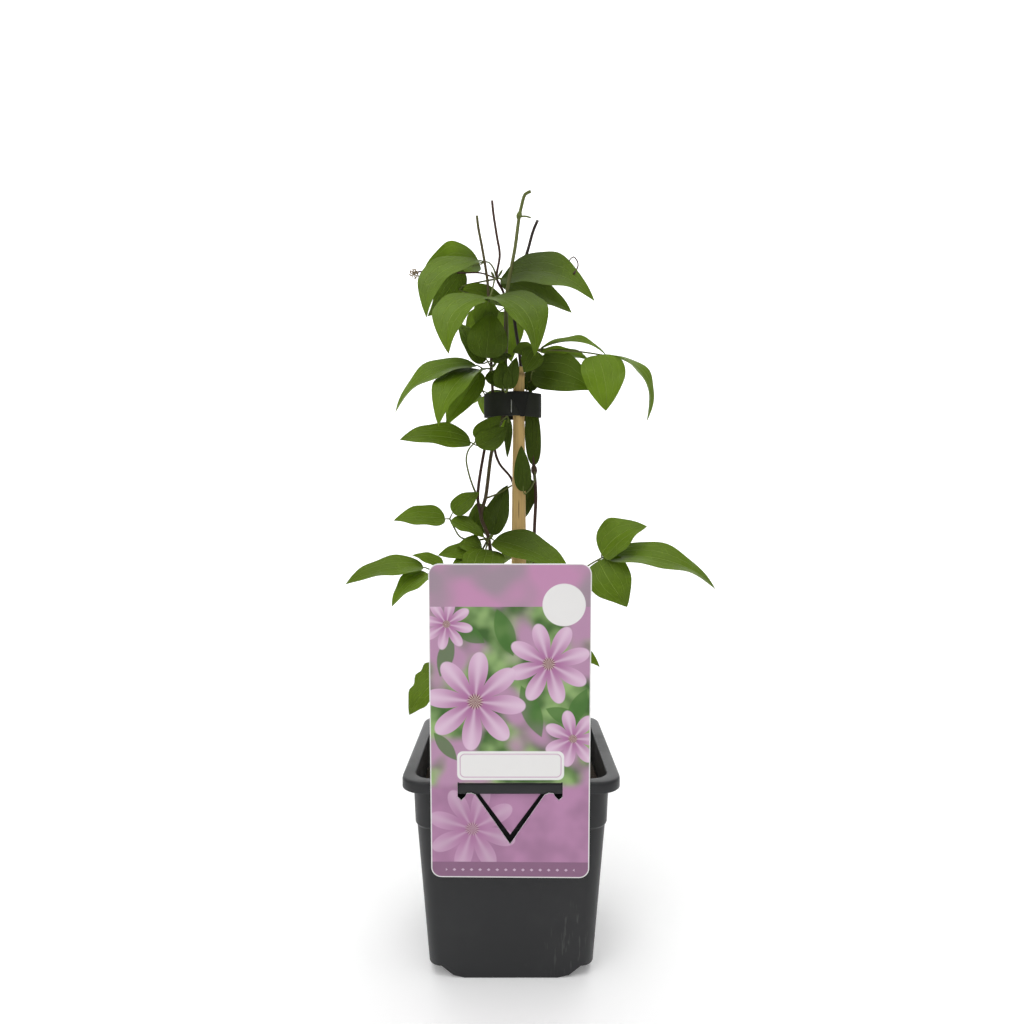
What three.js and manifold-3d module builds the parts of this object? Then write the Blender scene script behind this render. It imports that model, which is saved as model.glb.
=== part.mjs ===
// A young climbing plant in a square nursery pot, tied to a bamboo cane, with a hooked hang label.
//
// Units are millimetres and +Z is up. The label hangs on the side that faces -Y. Every place below
// is measured from the middle of the pot's foot. The finished plant is moved at the end so that the
// middle of its bounding box's bottom face is the origin.
import * as THREE from "three";
import { mergeVertices } from "three/addons/utils/BufferGeometryUtils.js";
import Module from "manifold-3d";

const wasm = await Module();
wasm.setup();

// ---------------------------------------------------------------- driving dimensions

const CLEARANCE = 0.35; // between pieces that touch on the real plant

const POT = {
  height: 124,
  rimHalf: 65, // half the width over the rim
  rimCorner: 14, // corner radius of the rim
  cornerTaper: 0.4, // corner radius lost for each millimetre further in
  wall: 1.4,
  skirtHeight: 6.5, // the rim's turned-down edge
  neckHalf: 59, // half the width of the wall just under the rim
  stepHeight: 93, // the stacking step
  stepHalf: 56.8,
  stepOut: 1,
  stepRise: 1.5,
  footHalf: 50,
  baseHeight: 7.2,
  baseThickness: 1.5,
  baseInset: 0.4, // the base plate's edge lies this far inside the wall's outer face
  tabHalf: 34, // half the length of the foot tab on each side
  tabSlope: 4,
  cutterReach: 10, // how far the cutter between the tabs stands out of the wall
  drainRadius: 5,
  drainReach: 31,
};

const SOIL = {
  top: 108,
  lump: 1.4, // height of the lumps
  waveX: 9, // the lumps' waves run along x, along y and across both, the last one lower
  waveY: 7,
  waveAcross: 5,
  acrossShare: 0.6,
  edgeDrop: 1.5, // how far the top falls at the wall
  edgeInset: 1,
  ringShares: [0.84, 0.62, 0.4, 0.18], // the lumpy top's rings, as shares of the neck
};
const ROOT_END = 80; // how deep the stems go
const ABOVE_SOIL = 20; // how far a hole's cutter stands out of the mix
const STEM_HOLE_GAP = 0.9; // round a stem in the mix, as the stems start to bend below its top

const CANE = {
  x: 5,
  y: 0,
  bottom: 40,
  top: 377,
  footRadius: 5.2,
  middleRadius: 4.8,
  middleHeight: 266,
  topRadius: 3.9,
  upperHeight: 345, // from here up the radius stays the same
  rings: [202, 372], // heights of the swollen rings
  ringSteps: [-4, -1, 1, 4],
  ringSwell: 0.3,
};

const TIE = {
  x: 1,
  y: 5,
  halfX: 19,
  halfY: 9.9,
  thickness: 0.9,
  bottom: 344,
  top: 360,
  lapFrom: 1.5 * Math.PI, // the free end's lap, as angles round the loop
  lapTo: 1.68 * Math.PI,
  lapInner: 0.1, // the lap's faces, outward from the loop's middle line
  lapOuter: 1.2,
  lapInset: 1, // the lap is this much lower than the band at each edge
};

const LABEL = {
  width: 92,
  below: 53.5, // from the rim's middle line down to the lower edge
  above: 131.5,
  corner: 6,
  thickness: 0.8,
  x: -0.6,
  lean: 0.0785, // leans forward, in line with the pot's side
  lineHeight: 121, // height of the rim's middle line
  rimGap: 0.5, // between the label's back and the rim
};
const SLOT = { half: 30.4, top: 4, barBottom: -2.6, notchInner: 26.1, notchBottom: -7, apex: -33.5 };
const TONGUE = {
  half: 29.5,
  shoulder: 19,
  foldTop: 125.6,
  foldBottom: 124.4,
  foldFront: -66.4,
  back: -62.1, // the hanging part's back face
  barEnd: 118.4,
  apex: 93,
};
const RIM_SLIT = { y: -62.5, width: 1.6, spare: 1.5 }; // spare: its length past the tongue's ends

const STALK_RADIUS = 0.75;
const STALK_HALF_WIDTH = 0.6; // of a leaflet's own stalk
const BLADE_THICKNESS = 0.8;
const LONG_BLADE = 30; // blades longer than this get more rows
const BLADE_ROWS = { short: [0, 0.1, 0.38, 0.74], long: [0, 0.07, 0.22, 0.42, 0.64, 0.84] };
const BLADE_OUTLINE = { rise: 0.55, fall: 0.85, peak: 0.391 }; // peak: the formula's largest value
const BLADE_FOLD = 0.25; // the angle by which each half rises from the midrib
const TOOTH_WAVES = 4; // along one blade

const BUD = { place: [5, -15, 472], size: [1.8, 1.6, 3.2], tilt: 0.5 };

// The colour and roughness of each piece.
const LOOKS = {
  pot: [0x38393b, 0.55],
  soil: [0x2e2018, 0.95],
  cane: [0x9c8157, 0.6],
  tie: [0x20231f, 0.6],
  label: [0xb283ae, 0.35],
  leafyMain: [0x56762f, 0.5],
  leafyBack: [0x62803a, 0.5],
  leafyRight: [0x4d6c2b, 0.5],
  shoot: [0x6a8a3c, 0.5],
};

// ---------------------------------------------------------------- geometry helpers

const point = ([x, y, z]) => new THREE.Vector3(x, y, z);

function solidOf(geometry) {
  const bare = geometry.clone();
  bare.deleteAttribute("normal");
  bare.deleteAttribute("uv");
  const merged = mergeVertices(bare, 1e-4);
  return new wasm.Manifold(
    new wasm.Mesh({
      numProp: 3,
      vertProperties: merged.attributes.position.array,
      triVerts: new Uint32Array(merged.index.array),
    }),
  );
}

function geometryOf(solid) {
  const mesh = solid.getMesh();
  const geometry = new THREE.BufferGeometry();
  geometry.setAttribute("position", new THREE.BufferAttribute(mesh.vertProperties, 3));
  geometry.setIndex(new THREE.BufferAttribute(mesh.triVerts, 1));
  geometry.computeVertexNormals();
  return geometry;
}

const fuse = (geometries) => geometries.map(solidOf).reduce((whole, piece) => whole.add(piece));
const cut = (solid, geometries) =>
  geometries.map(solidOf).reduce((whole, piece) => whole.subtract(piece), solid);

function fromFaces(points, faces) {
  const geometry = new THREE.BufferGeometry();
  geometry.setAttribute("position", new THREE.Float32BufferAttribute(points.flatMap((p) => p.toArray()), 3));
  geometry.setIndex(faces);
  return geometry;
}

// A skin over rings of equally many points. Open skins are capped at both ends; a closed skin
// joins its last ring to its first.
function skin(rings, closed = false) {
  const count = rings[0].length;
  const faces = [];
  const spans = closed ? rings.length : rings.length - 1;
  for (let ring = 0; ring < spans; ring++) {
    const lower = ring * count;
    const upper = ((ring + 1) % rings.length) * count;
    for (let i = 0; i < count; i++) {
      const j = (i + 1) % count;
      faces.push(lower + i, lower + j, upper + j, lower + i, upper + j, upper + i);
    }
  }
  if (!closed) {
    const last = (rings.length - 1) * count;
    for (let i = 1; i < count - 1; i++) faces.push(0, i + 1, i, last, last + i, last + i + 1);
  }
  return fromFaces(rings.flat(), faces);
}

function squareRing(half, radius, height, cornerSteps = 4) {
  const ring = [];
  for (let corner = 0; corner < 4; corner++) {
    for (let step = 0; step <= cornerSteps; step++) {
      const angle = ((corner + step / cornerSteps) * Math.PI) / 2;
      const middle = ((corner + 0.5) * Math.PI) / 2;
      const reach = (half - radius) * Math.SQRT2;
      ring.push(
        new THREE.Vector3(
          reach * Math.cos(middle) + radius * Math.cos(angle),
          reach * Math.sin(middle) + radius * Math.sin(angle),
          height,
        ),
      );
    }
  }
  return ring;
}

function tube(route, radius, sides, steps) {
  const section = new THREE.Shape();
  section.setFromPoints(
    Array.from({ length: sides }, (_, i) => {
      const angle = (2 * Math.PI * i) / sides;
      return new THREE.Vector2(radius * Math.cos(angle), radius * Math.sin(angle));
    }),
  );
  const extrudePath = new THREE.CatmullRomCurve3(route.map(point), false, "centripetal");
  return new THREE.ExtrudeGeometry(section, { steps, extrudePath, bevelEnabled: false });
}

function pin(x, y, bottom, top, radius, sides = 16) {
  return new THREE.CylinderGeometry(radius, radius, top - bottom, sides)
    .rotateX(Math.PI / 2)
    .translate(x, y, (bottom + top) / 2);
}

function mesh(name, geometry, [color, roughness]) {
  const material = new THREE.MeshStandardMaterial({ color, roughness, metalness: 0 });
  const made = new THREE.Mesh(geometry, material);
  made.name = name;
  return made;
}

// ---------------------------------------------------------------- pot, soil, cane, tie

const potCorner = (half) => POT.rimCorner - POT.cornerTaper * (POT.rimHalf - half);
const potRing = (half, height) => squareRing(half, potCorner(half), height);

function pot() {
  const { height, rimHalf, wall, neckHalf, stepHeight, stepHalf, stepOut, stepRise, footHalf } = POT;
  const flangeBottom = height - wall;
  const skirtBottom = height - POT.skirtHeight;
  const section = [
    [footHalf, 0],
    [stepHalf, stepHeight],
    [stepHalf + stepOut, stepHeight + stepRise],
    [neckHalf, flangeBottom],
    [rimHalf - wall, flangeBottom],
    [rimHalf - wall, skirtBottom],
    [rimHalf, skirtBottom],
    [rimHalf, height],
    [neckHalf - wall, height],
    [stepHalf + stepOut - wall, stepHeight + stepRise],
    [stepHalf - wall, stepHeight],
    [footHalf - wall, 0],
  ];
  const shell = skin(section.map(([half, z]) => potRing(half, z)), true);
  const plateHalf = footHalf - POT.baseInset;
  const base = skin([POT.baseHeight, POT.baseHeight + POT.baseThickness].map((z) => potRing(plateHalf, z)));

  const cuts = [];
  for (let quarter = 0; quarter < 4; quarter++) {
    const turn = (quarter * Math.PI) / 2;
    const cornerCut = (inner, z) => {
      const outer = footHalf + POT.cutterReach;
      return [[inner, inner, z], [outer, inner, z], [outer, outer, z], [inner, outer, z]].map(point);
    };
    const below = -1;
    cuts.push(
      skin([
        cornerCut(POT.tabHalf, below),
        cornerCut(POT.tabHalf + POT.tabSlope, POT.baseHeight),
      ]).rotateZ(turn),
      pin(POT.drainReach, POT.drainReach, 0, height / 2, POT.drainRadius).rotateZ(turn),
    );
  }
  cuts.push(pin(0, 0, 0, height / 2, POT.drainRadius));
  const slitLength = 2 * (TONGUE.half + RIM_SLIT.spare);
  const slit = new THREE.BoxGeometry(slitLength, RIM_SLIT.width, 2 * wall);
  cuts.push(slit.translate(LABEL.x, RIM_SLIT.y, flangeBottom + wall / 2));
  return cut(fuse([shell, base]), cuts);
}

// The mix fills the pot; its top is a little lumpy, and falls towards the wall.
function soil(stems) {
  const { wall, stepHeight, stepHalf, stepOut, stepRise, footHalf, neckHalf } = POT;
  const inside = wall + CLEARANCE;
  const bottom = POT.baseHeight + POT.baseThickness + CLEARANCE;
  const lump = (x, y) => {
    const crossed = Math.sin(x / SOIL.waveX + 1) * Math.cos(y / SOIL.waveY);
    const across = SOIL.acrossShare * Math.sin((x - y) / SOIL.waveAcross);
    return SOIL.lump * (crossed + across);
  };
  const rings = [
    potRing(footHalf - inside, bottom),
    potRing(stepHalf - inside, stepHeight),
    potRing(stepHalf + stepOut - inside, stepHeight + stepRise),
    potRing(neckHalf - inside - SOIL.edgeInset, SOIL.top - SOIL.edgeDrop),
  ];
  for (const share of SOIL.ringShares) {
    const ring = squareRing(neckHalf * share, potCorner(neckHalf) * share, SOIL.top);
    rings.push(ring.map((p) => p.setZ(SOIL.top + lump(p.x, p.y))));
  }
  const holes = stems.map(({ route, radius }) => {
    const [x, y] = route[0];
    return pin(x, y, ROOT_END, SOIL.top + ABOVE_SOIL, radius + STEM_HOLE_GAP, 8);
  });
  const caneHole = CANE.footRadius + CLEARANCE;
  holes.push(pin(CANE.x, CANE.y, CANE.bottom - CLEARANCE, SOIL.top + ABOVE_SOIL, caneHole));
  return cut(solidOf(skin(rings)), holes);
}

function cane() {
  const { x, y, bottom, top, footRadius, middleRadius, middleHeight, topRadius, upperHeight } = CANE;
  const { lerp, inverseLerp, clamp } = THREE.MathUtils;
  const radiusAt = (z) => {
    const low = clamp(inverseLerp(SOIL.top, middleHeight, z), 0, 1);
    const high = clamp(inverseLerp(middleHeight, upperHeight, z), 0, 1);
    return lerp(lerp(footRadius, middleRadius, low), topRadius, high);
  };
  const swollen = [CANE.ringSteps[1], CANE.ringSteps[2]];
  const swellAt = (step) => (swollen.includes(step) ? CANE.ringSwell : 0);
  const ring = (z) => CANE.ringSteps.map((step) => [radiusAt(z + step) + swellAt(step), z + step]);
  const profile = [
    [0, bottom],
    [footRadius, bottom],
    [footRadius, SOIL.top],
    ...ring(CANE.rings[0]),
    [radiusAt(middleHeight), middleHeight],
    [radiusAt(upperHeight), upperHeight],
    ...ring(CANE.rings[1]),
    [topRadius, top],
    [0, top],
  ];
  const points = profile.map(([radius, z]) => new THREE.Vector2(radius, z));
  return new THREE.LatheGeometry(points, 16).rotateX(Math.PI / 2).translate(x, y, 0);
}

// A flat band in an oval loop, with its free end lapped over the front.
function tie() {
  const { x, y, halfX, halfY, thickness, bottom, top } = TIE;
  const outer = thickness / 2;
  const loop = new THREE.Shape().absellipse(x, y, halfX + outer, halfY + outer, 0, 2 * Math.PI);
  loop.holes.push(new THREE.Path().absellipse(x, y, halfX - outer, halfY - outer, 0, 2 * Math.PI));
  const band = new THREE.ExtrudeGeometry(loop, {
    depth: top - bottom,
    bevelEnabled: false,
    curveSegments: 28,
  }).translate(0, 0, bottom);
  const { lapFrom, lapTo, lapInner, lapOuter, lapInset } = TIE;
  const lap = new THREE.Shape();
  lap.absellipse(x, y, halfX + lapOuter, halfY + lapOuter, lapFrom, lapTo, false);
  lap.absellipse(x, y, halfX + lapInner, halfY + lapInner, lapTo, lapFrom, true);
  const end = new THREE.ExtrudeGeometry(lap, {
    depth: top - bottom - 2 * lapInset,
    bevelEnabled: false,
    curveSegments: 4,
  }).translate(0, 0, bottom + lapInset);
  return fuse([band, end]);
}

// ---------------------------------------------------------------- label

// The label is a thin plate. A bar and a triangle are cut from it on three sides; this tongue
// folds back over the rim, goes down through the slit and shows again under the rim's skirt.
function label() {
  const { width, below, above, corner, thickness, x, lean, lineHeight } = LABEL;
  const half = width / 2;
  const plate = new THREE.Shape();
  plate.absarc(half - corner, -below + corner, corner, -Math.PI / 2, 0);
  plate.absarc(half - corner, above - corner, corner, 0, Math.PI / 2);
  plate.absarc(-half + corner, above - corner, corner, Math.PI / 2, Math.PI);
  plate.absarc(-half + corner, -below + corner, corner, Math.PI, 1.5 * Math.PI);

  const notchMiddle = (SLOT.half + SLOT.notchInner) / 2;
  const notchRadius = (SLOT.half - SLOT.notchInner) / 2;
  const rightSide = [
    [SLOT.half, SLOT.top],
    [SLOT.half, SLOT.notchBottom + notchRadius],
    [notchMiddle, SLOT.notchBottom],
    [SLOT.notchInner, SLOT.notchBottom + notchRadius],
    [SLOT.notchInner - 1, SLOT.barBottom - 0.2],
    [(SLOT.notchInner + TONGUE.shoulder) / 2, SLOT.barBottom],
    [TONGUE.shoulder + 1, SLOT.barBottom - 1],
  ];
  const leftSide = rightSide.map(([px, py]) => [-px, py]).reverse();
  const outline = [...rightSide, [0, SLOT.apex], ...leftSide];
  plate.holes.push(new THREE.Path(outline.map(([px, py]) => new THREE.Vector2(px, py))));
  const backAtLine = -(POT.rimHalf + LABEL.rimGap);
  const board = new THREE.ExtrudeGeometry(plate, { depth: thickness, bevelEnabled: false, curveSegments: 4 })
    .rotateX(Math.PI / 2 + lean)
    .translate(x, backAtLine, lineHeight);

  const tongueShape = new THREE.Shape();
  tongueShape.setFromPoints(
    [
      [-TONGUE.half, TONGUE.foldTop],
      [-TONGUE.half, TONGUE.barEnd],
      [-TONGUE.shoulder, TONGUE.barEnd],
      [0, TONGUE.apex],
      [TONGUE.shoulder, TONGUE.barEnd],
      [TONGUE.half, TONGUE.barEnd],
      [TONGUE.half, TONGUE.foldTop],
    ].map(([px, py]) => new THREE.Vector2(px, py)),
  );
  const tongue = new THREE.ExtrudeGeometry(tongueShape, { depth: thickness, bevelEnabled: false })
    .rotateX(Math.PI / 2)
    .translate(x, TONGUE.back, 0);
  const { foldTop, foldBottom, foldFront, back } = TONGUE;
  const fold = new THREE.BoxGeometry(2 * TONGUE.half, back - foldFront, foldTop - foldBottom);
  fold.translate(x, (back + foldFront) / 2, (foldTop + foldBottom) / 2);
  return fuse([board, fold, tongue]);
}

// ---------------------------------------------------------------- leaves

// A leaflet is one thin shell: a short flat stalk that widens into the blade. The blade runs from
// its base to its tip, width wide, with its upper side facing `face`. Its midrib bows by `arch`
// towards that side and by `bend` sideways, and `teeth` is how far its edge waves, as a share of
// the width. The result is a function of the point that the leaflet grows from.
function blade(base, tip, width, face, { arch = 0, bend = 0, teeth = 0 } = {}) {
  const foot = point(base);
  const chord = point(tip).sub(foot);
  const length = chord.length();
  const along = chord.clone().divideScalar(length);
  const up = point(face);
  up.addScaledVector(along, -up.dot(along)).normalize();
  const across = new THREE.Vector3().crossVectors(up, along);

  // Half the width, as a share of the widest: a pointed egg, widest at two fifths of the length.
  const { rise, fall, peak } = BLADE_OUTLINE;
  const outline = (u) => (u ** rise * (1 - u) ** fall) / peak;
  const surface = (u, v, lift) => {
    const bow = 4 * u * (1 - u);
    const tooth = 1 + teeth * Math.cos(2 * Math.PI * TOOTH_WAVES * u);
    const reach = v * Math.max(STALK_HALF_WIDTH, (width / 2) * outline(u) * tooth);
    return foot
      .clone()
      .addScaledVector(along, length * u)
      .addScaledVector(up, arch * bow)
      .addScaledVector(across, bend * bow + reach * Math.cos(BLADE_FOLD))
      .addScaledVector(up, Math.abs(reach) * Math.sin(BLADE_FOLD) + lift);
  };
  const bladeRows = length > LONG_BLADE ? BLADE_ROWS.long : BLADE_ROWS.short;
  const columns = [-1, 0, 1];

  return (growsFrom) => {
    const points = [];
    for (const lift of [BLADE_THICKNESS / 2, -BLADE_THICKNESS / 2]) {
      const start = point(growsFrom).addScaledVector(up, lift);
      for (const v of columns) points.push(start.clone().addScaledVector(across, v * STALK_HALF_WIDTH));
      for (const u of bladeRows) for (const v of columns) points.push(surface(u, v, lift));
      points.push(surface(1, 0, lift));
    }
    const rowCount = bladeRows.length + 1;
    const at = (row, column) => row * columns.length + column;
    const end = at(rowCount, 0);
    const perFace = end + 1;
    const upper = [];
    for (let column = 0; column < columns.length - 1; column++) {
      for (let row = 0; row < rowCount - 1; row++) {
        upper.push([at(row, column), at(row + 1, column), at(row + 1, column + 1)]);
        upper.push([at(row, column), at(row + 1, column + 1), at(row, column + 1)]);
      }
      upper.push([at(rowCount - 1, column), end, at(rowCount - 1, column + 1)]);
    }
    const faces = upper.flatMap(([a, b, c]) => [a, b, c, perFace + a, perFace + c, perFace + b]);
    const rows = Array.from({ length: rowCount }, (_, row) => row);
    const left = rows.map((row) => at(row, 0));
    const right = rows.map((row) => at(row, columns.length - 1)).reverse();
    const rim = [at(0, 1), ...left, end, ...right];
    rim.forEach((a, i) => {
      const b = rim[(i + 1) % rim.length];
      faces.push(b, a, perFace + a, b, perFace + a, perFace + b);
    });
    return fromFaces(points, faces);
  };
}

// A leaf is a stalk whose end carries leaflets. A stalk of one point is a leaflet on the bare stem.
function leaf(stalk, blades) {
  const end = stalk[stalk.length - 1];
  const pieces = blades.map((grow) => grow(end));
  if (stalk.length > 1) pieces.push(tube(stalk, STALK_RADIUS, 4, 2 * stalk.length - 2));
  return pieces;
}

// ---------------------------------------------------------------- stems

const underground = (x, y) => [[x, y, ROOT_END + CLEARANCE], [x, y, 96], [x, y, 112]];

const mainStem = {
  radius: 1.3,
  steps: 32,
  route: [
    ...underground(-6, -4),
    [-8, -5, 160], [-11, -6, 210], [-15, -6, 263], [-20, -6, 278], [-17, -6, 290], [-13, -5, 320],
    [-9, -2.5, 335], [-6.5, 0, 344], [-6, 0.3, 352], [-5.5, -0.5, 361], [-4, -7, 378],
    [-3, -13, 394], [-3, -19, 418], [0, -21, 436], [2.5, -19, 450], [5, -15, 470], [7, -14, 480],
    [9, -14, 486], [12.6, -14, 488],
  ],
};

const leftBranch = {
  radius: 1.1,
  steps: 22,
  route: [
    [-20, -6, 278], [-22, -8, 290], [-18, -6, 320], [-15, -1, 335], [-12, 3, 345], [-12, 3.5, 352],
    [-12.5, 2, 361], [-13, -5, 375], [-14, -9, 400], [-15, -12, 424], [-15.5, -12, 431],
    [-18.5, -12, 450], [-21.5, -12, 466], [-22.3, -12, 473],
  ],
};

const backStem = {
  radius: 1,
  steps: 30,
  route: [
    ...underground(2, 12),
    [2, 10, 200], [2, 9, 285], [0.5, 8.3, 302], [-8, 5.5, 313], [-11, 5, 322], [-10, 6.5, 334],
    [-5, 9, 345], [-3, 9, 352], [-3, 8, 361], [-4, 5, 400], [-5, 3, 427], [-9.6, 0, 436],
    [-7.7, 0, 452], [-9.7, 0, 465], [-12, 0, 480], [-12.8, 0, 488],
  ],
};

const rightStem = {
  radius: 1.2,
  steps: 28,
  route: [
    ...underground(16, 6),
    [16, 5, 200], [15.6, 4, 265], [16.6, 4, 292], [15.4, 5, 309], [13, 8, 335], [9.5, 10, 345],
    [9, 10, 352], [8, 10, 361], [6, 9.3, 384], [1, 12, 426], [3, 12, 435.5], [11, 10.5, 458],
    [15, 10, 472], [18, 10, 479],
  ],
};

const leftShoot = {
  radius: 0.9,
  steps: 12,
  route: [...underground(-22, -14), [-28, -22, 150], [-35, -30, 178], [-38, -33, 188]],
};

const rightShoot = {
  radius: 0.9,
  steps: 12,
  route: [...underground(24, -16), [26, -22, 150], [30, -28, 185], [31, -29, 194]],
};

const stemTube = ({ route, radius, steps }) => tube(route, radius, 5, steps);

const lowFork = [-15, -6, 263];
const midFork = [-13, -5, 375];

const mainLeaves = [
  // low cluster, left of the cane
  leaf([lowFork, [-24, -12, 262], [-33, -13, 264], [-37.5, -14, 271], [-40, -14, 276]], [
    blade([-38, -14, 280], [-21, -12, 293.5], 14, [0, -0.9, 0.3], { arch: 1 }),
    blade([-43, -14, 276], [-75, -22, 276], 19, [0, -0.75, 0.65], { arch: 2 }),
    blade([-39, -15, 275], [-17, -16, 264.5], 15, [0.1, -0.6, 0.8], { arch: 1 }),
  ]),
  leaf([lowFork, [-16, -11, 258], [-17, -15, 255.5]], [
    blade([-19, -16, 255], [-34, -23, 260], 17, [-0.2, -0.7, 0.6], { arch: 2 }),
    blade([-20, -17, 254], [-46, -27, 254], 15, [0, -0.75, 0.65], { arch: 1 }),
    blade([-18, -18, 254], [-38, -28, 246], 13, [-0.1, -0.7, 0.7], { arch: 2 }),
    blade([-15, -20, 256], [-22, -42, 226], 27, [0, -0.8, 0.5], { arch: 6 }),
  ]),
  leaf([lowFork, [-22, -16, 252], [-36, -24, 246], [-50, -29, 244]], [
    blade([-55, -31, 246], [-102, -40, 238], 20, [-0.1, -0.55, 0.83], { arch: 4 }),
    blade([-52, -32, 242], [-73, -44, 224], 18, [-0.3, -0.7, 0.65], { arch: 3 }),
  ]),
  leaf([[-36, -24, 246]], [
    blade([-43, -28, 247], [-62, -30, 254], 10, [0.2, -0.7, 0.7], { arch: 1 }),
  ]),
  leaf([lowFork, [-16, -3, 265]], [
    blade([-18, 0, 266], [-23, 5, 287], 20, [0, -1, 0.1], { arch: 1 }),
    blade([-13, -2, 265], [-3, 5.5, 299], 18, [-0.3, -0.9, 0.1], { arch: 1 }),
  ]),
  leaf([lowFork, [-13, -10, 263]], [
    blade([-11, -14, 262], [38, -36, 242], 26, [0.1, -0.7, 0.7], { arch: 5 }),
  ]),
  leaf([[-18, -7, 289], [-8, 0, 293], [0, 4.4, 298], [5, 6.6, 301], [10, 9, 305]], [
    blade([12, 10, 303], [9.5, 9, 276], 12, [0.2, -1, 0], { arch: 1 }),
  ]),
  // left of the tie
  leaf([
    [-22, -8, 290], [-25, -10, 297], [-27.5, -13, 305], [-29, -17, 315], [-27, -20, 321],
    [-24, -22, 324],
  ], [
    blade([-26, -22, 325], [-69, -34, 327], 22, [-0.1, -0.75, 0.65], { arch: 3 }),
    blade([-22, -20, 327], [-7, -10, 343], 15, [0.2, 0.9, 0.2]),
    blade([-22, -21, 323], [-3, -12, 336], 16, [0.1, -0.9, 0.3], { bend: -2 }),
  ]),
  leaf([[-9, -2.5, 335], [-6, -6, 341], [-2.5, -7.5, 343.5]], [
    blade([-2, -7.8, 342], [-2.5, -8, 316], 6, [0.2, -1, 0]),
  ]),
  // middle cluster, above the tie
  leaf([midFork, [-16, -9, 374.5], [-18.5, -11, 374]], [
    blade([-23, -12, 376], [-75, -22, 346], 26, [-0.4, -0.65, 0.65], { arch: 9 }),
    blade([-20, -13, 373], [-45, -44, 335], 32, [-0.4, -0.75, 0.5], { arch: 8 }),
    blade([-20, -10, 372], [-41, -24, 337], 16, [0.3, -0.9, 0]),
  ]),
  leaf([midFork, [-15, -14, 378]], [
    blade([-16, -20, 379], [-13, -23, 408], 27, [0, -1, -0.1], { arch: 1 }),
    blade([-19, -12, 377], [-35, -10, 405], 15, [0.3, -0.9, 0.2], { arch: 2 }),
    blade([-12, -18, 377.5], [0.5, -19, 381], 12, [0, -0.75, 0.65]),
  ]),
  leaf([[-4, -7, 378], [-3, -12, 368], [-3.5, -14, 358]], [
    blade([-5, -15, 360], [-6, -17, 379], 13, [0, -1, 0]),
    blade([-2, -15.5, 360], [3.5, -17.5, 380.5], 10, [0.1, -1, 0.2]),
  ]),
  leaf([midFork], [
    blade([-13, -8, 373], [-8, -10, 361.5], 12, [0, -1, 0]),
  ]),
  // behind
  leaf([midFork, [-18, 6, 370], [-20, 16, 364]], [
    blade([-22, 18, 362], [-46, 28, 342], 22, [-0.4, 0.5, 0.8], { arch: 5 }),
    blade([-18, 19, 361], [-6, 40, 334], 20, [0, 0.7, 0.7], { arch: 6 }),
    blade([-17, 18, 363], [0, 27, 346], 18, [0.4, 0.6, 0.7], { arch: 3 }),
  ]),
];

const topFork = [-9.6, 0, 436];

const backLeaves = [
  leaf([topFork, [-12, -1, 443], [-15, -3, 446], [-18, -4, 446]], [
    blade([-21, 2, 446], [-62, 10, 440], 29, [-0.1, 0.5, 0.85], { arch: 9 }),
    blade([-21.5, -8, 445.5], [-53, -34, 403], 24, [-0.2, -0.85, 0.45], { arch: 4, bend: -12 }),
    blade([-33, 1, 443], [-56, 5, 412], 18, [0.5, -0.8, -0.2], { arch: 2 }),
  ]),
  leaf([topFork, [-22, 1, 434], [-32, 2, 432], [-35, 3, 430]], [
    blade([-33, 3.5, 429], [2, 9, 419], 17, [0, 0.6, 0.8], { arch: 2 }),
  ]),
  leaf([topFork, [-10.5, -8, 434], [-12, -18, 424], [-13.3, -24, 417]], [
    blade([-15, -26, 416], [-38, -50, 377], 30, [-0.25, -0.8, 0.5], { arch: 6, bend: -9 }),
    blade([-12, -26, 416], [15, -44, 377], 34, [0.3, -0.8, 0.5], { arch: 9, bend: 6 }),
    blade([-14.5, -22, 414.5], [-21, -13, 396], 17, [0.1, 0.9, 0.3]),
  ]),
  leaf([topFork, [-8, -3, 435.5]], [
    blade([-6, -4, 435], [53, -22, 417], 32, [0.1, -0.9, 0.4], { arch: 8, bend: 6 }),
    blade([-7, -2, 435], [41, 1, 415], 24, [0.1, 0.6, 0.8], { arch: 3 }),
  ]),
  leaf([topFork, [-6, 12, 432], [-4, 24, 424]], [
    blade([-8, 27, 422], [-34, 36, 402], 24, [-0.3, 0.5, 0.8], { arch: 5 }),
    blade([-4, 28, 422], [0, 52, 392], 26, [0, 0.6, 0.8], { arch: 8 }),
    blade([0, 26, 421], [20, 38, 404], 22, [0.4, 0.5, 0.8], { arch: 5 }),
  ]),
  leaf([[2, 10, 200], [-6, 20, 196], [-12, 28, 190]], [
    blade([-14, 30, 188], [-40, 38, 172], 22, [-0.4, 0.5, 0.8], { arch: 5 }),
    blade([-12, 31, 187], [-12, 54, 160], 24, [0, 0.7, 0.7], { arch: 7 }),
    blade([-8, 30, 189], [14, 40, 178], 20, [0.4, 0.5, 0.8], { arch: 4 }),
  ]),
];

// A leafless stalk that has dried and curled up at its end.
const driedStalk = tube(
  [
    topFork, [-20, -1, 439.5], [-31, 0, 440], [-54, -2, 439.5], [-60, -3, 441], [-62, -4, 437],
    [-58, -5, 435],
  ],
  STALK_RADIUS,
  5,
  16,
);

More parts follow.
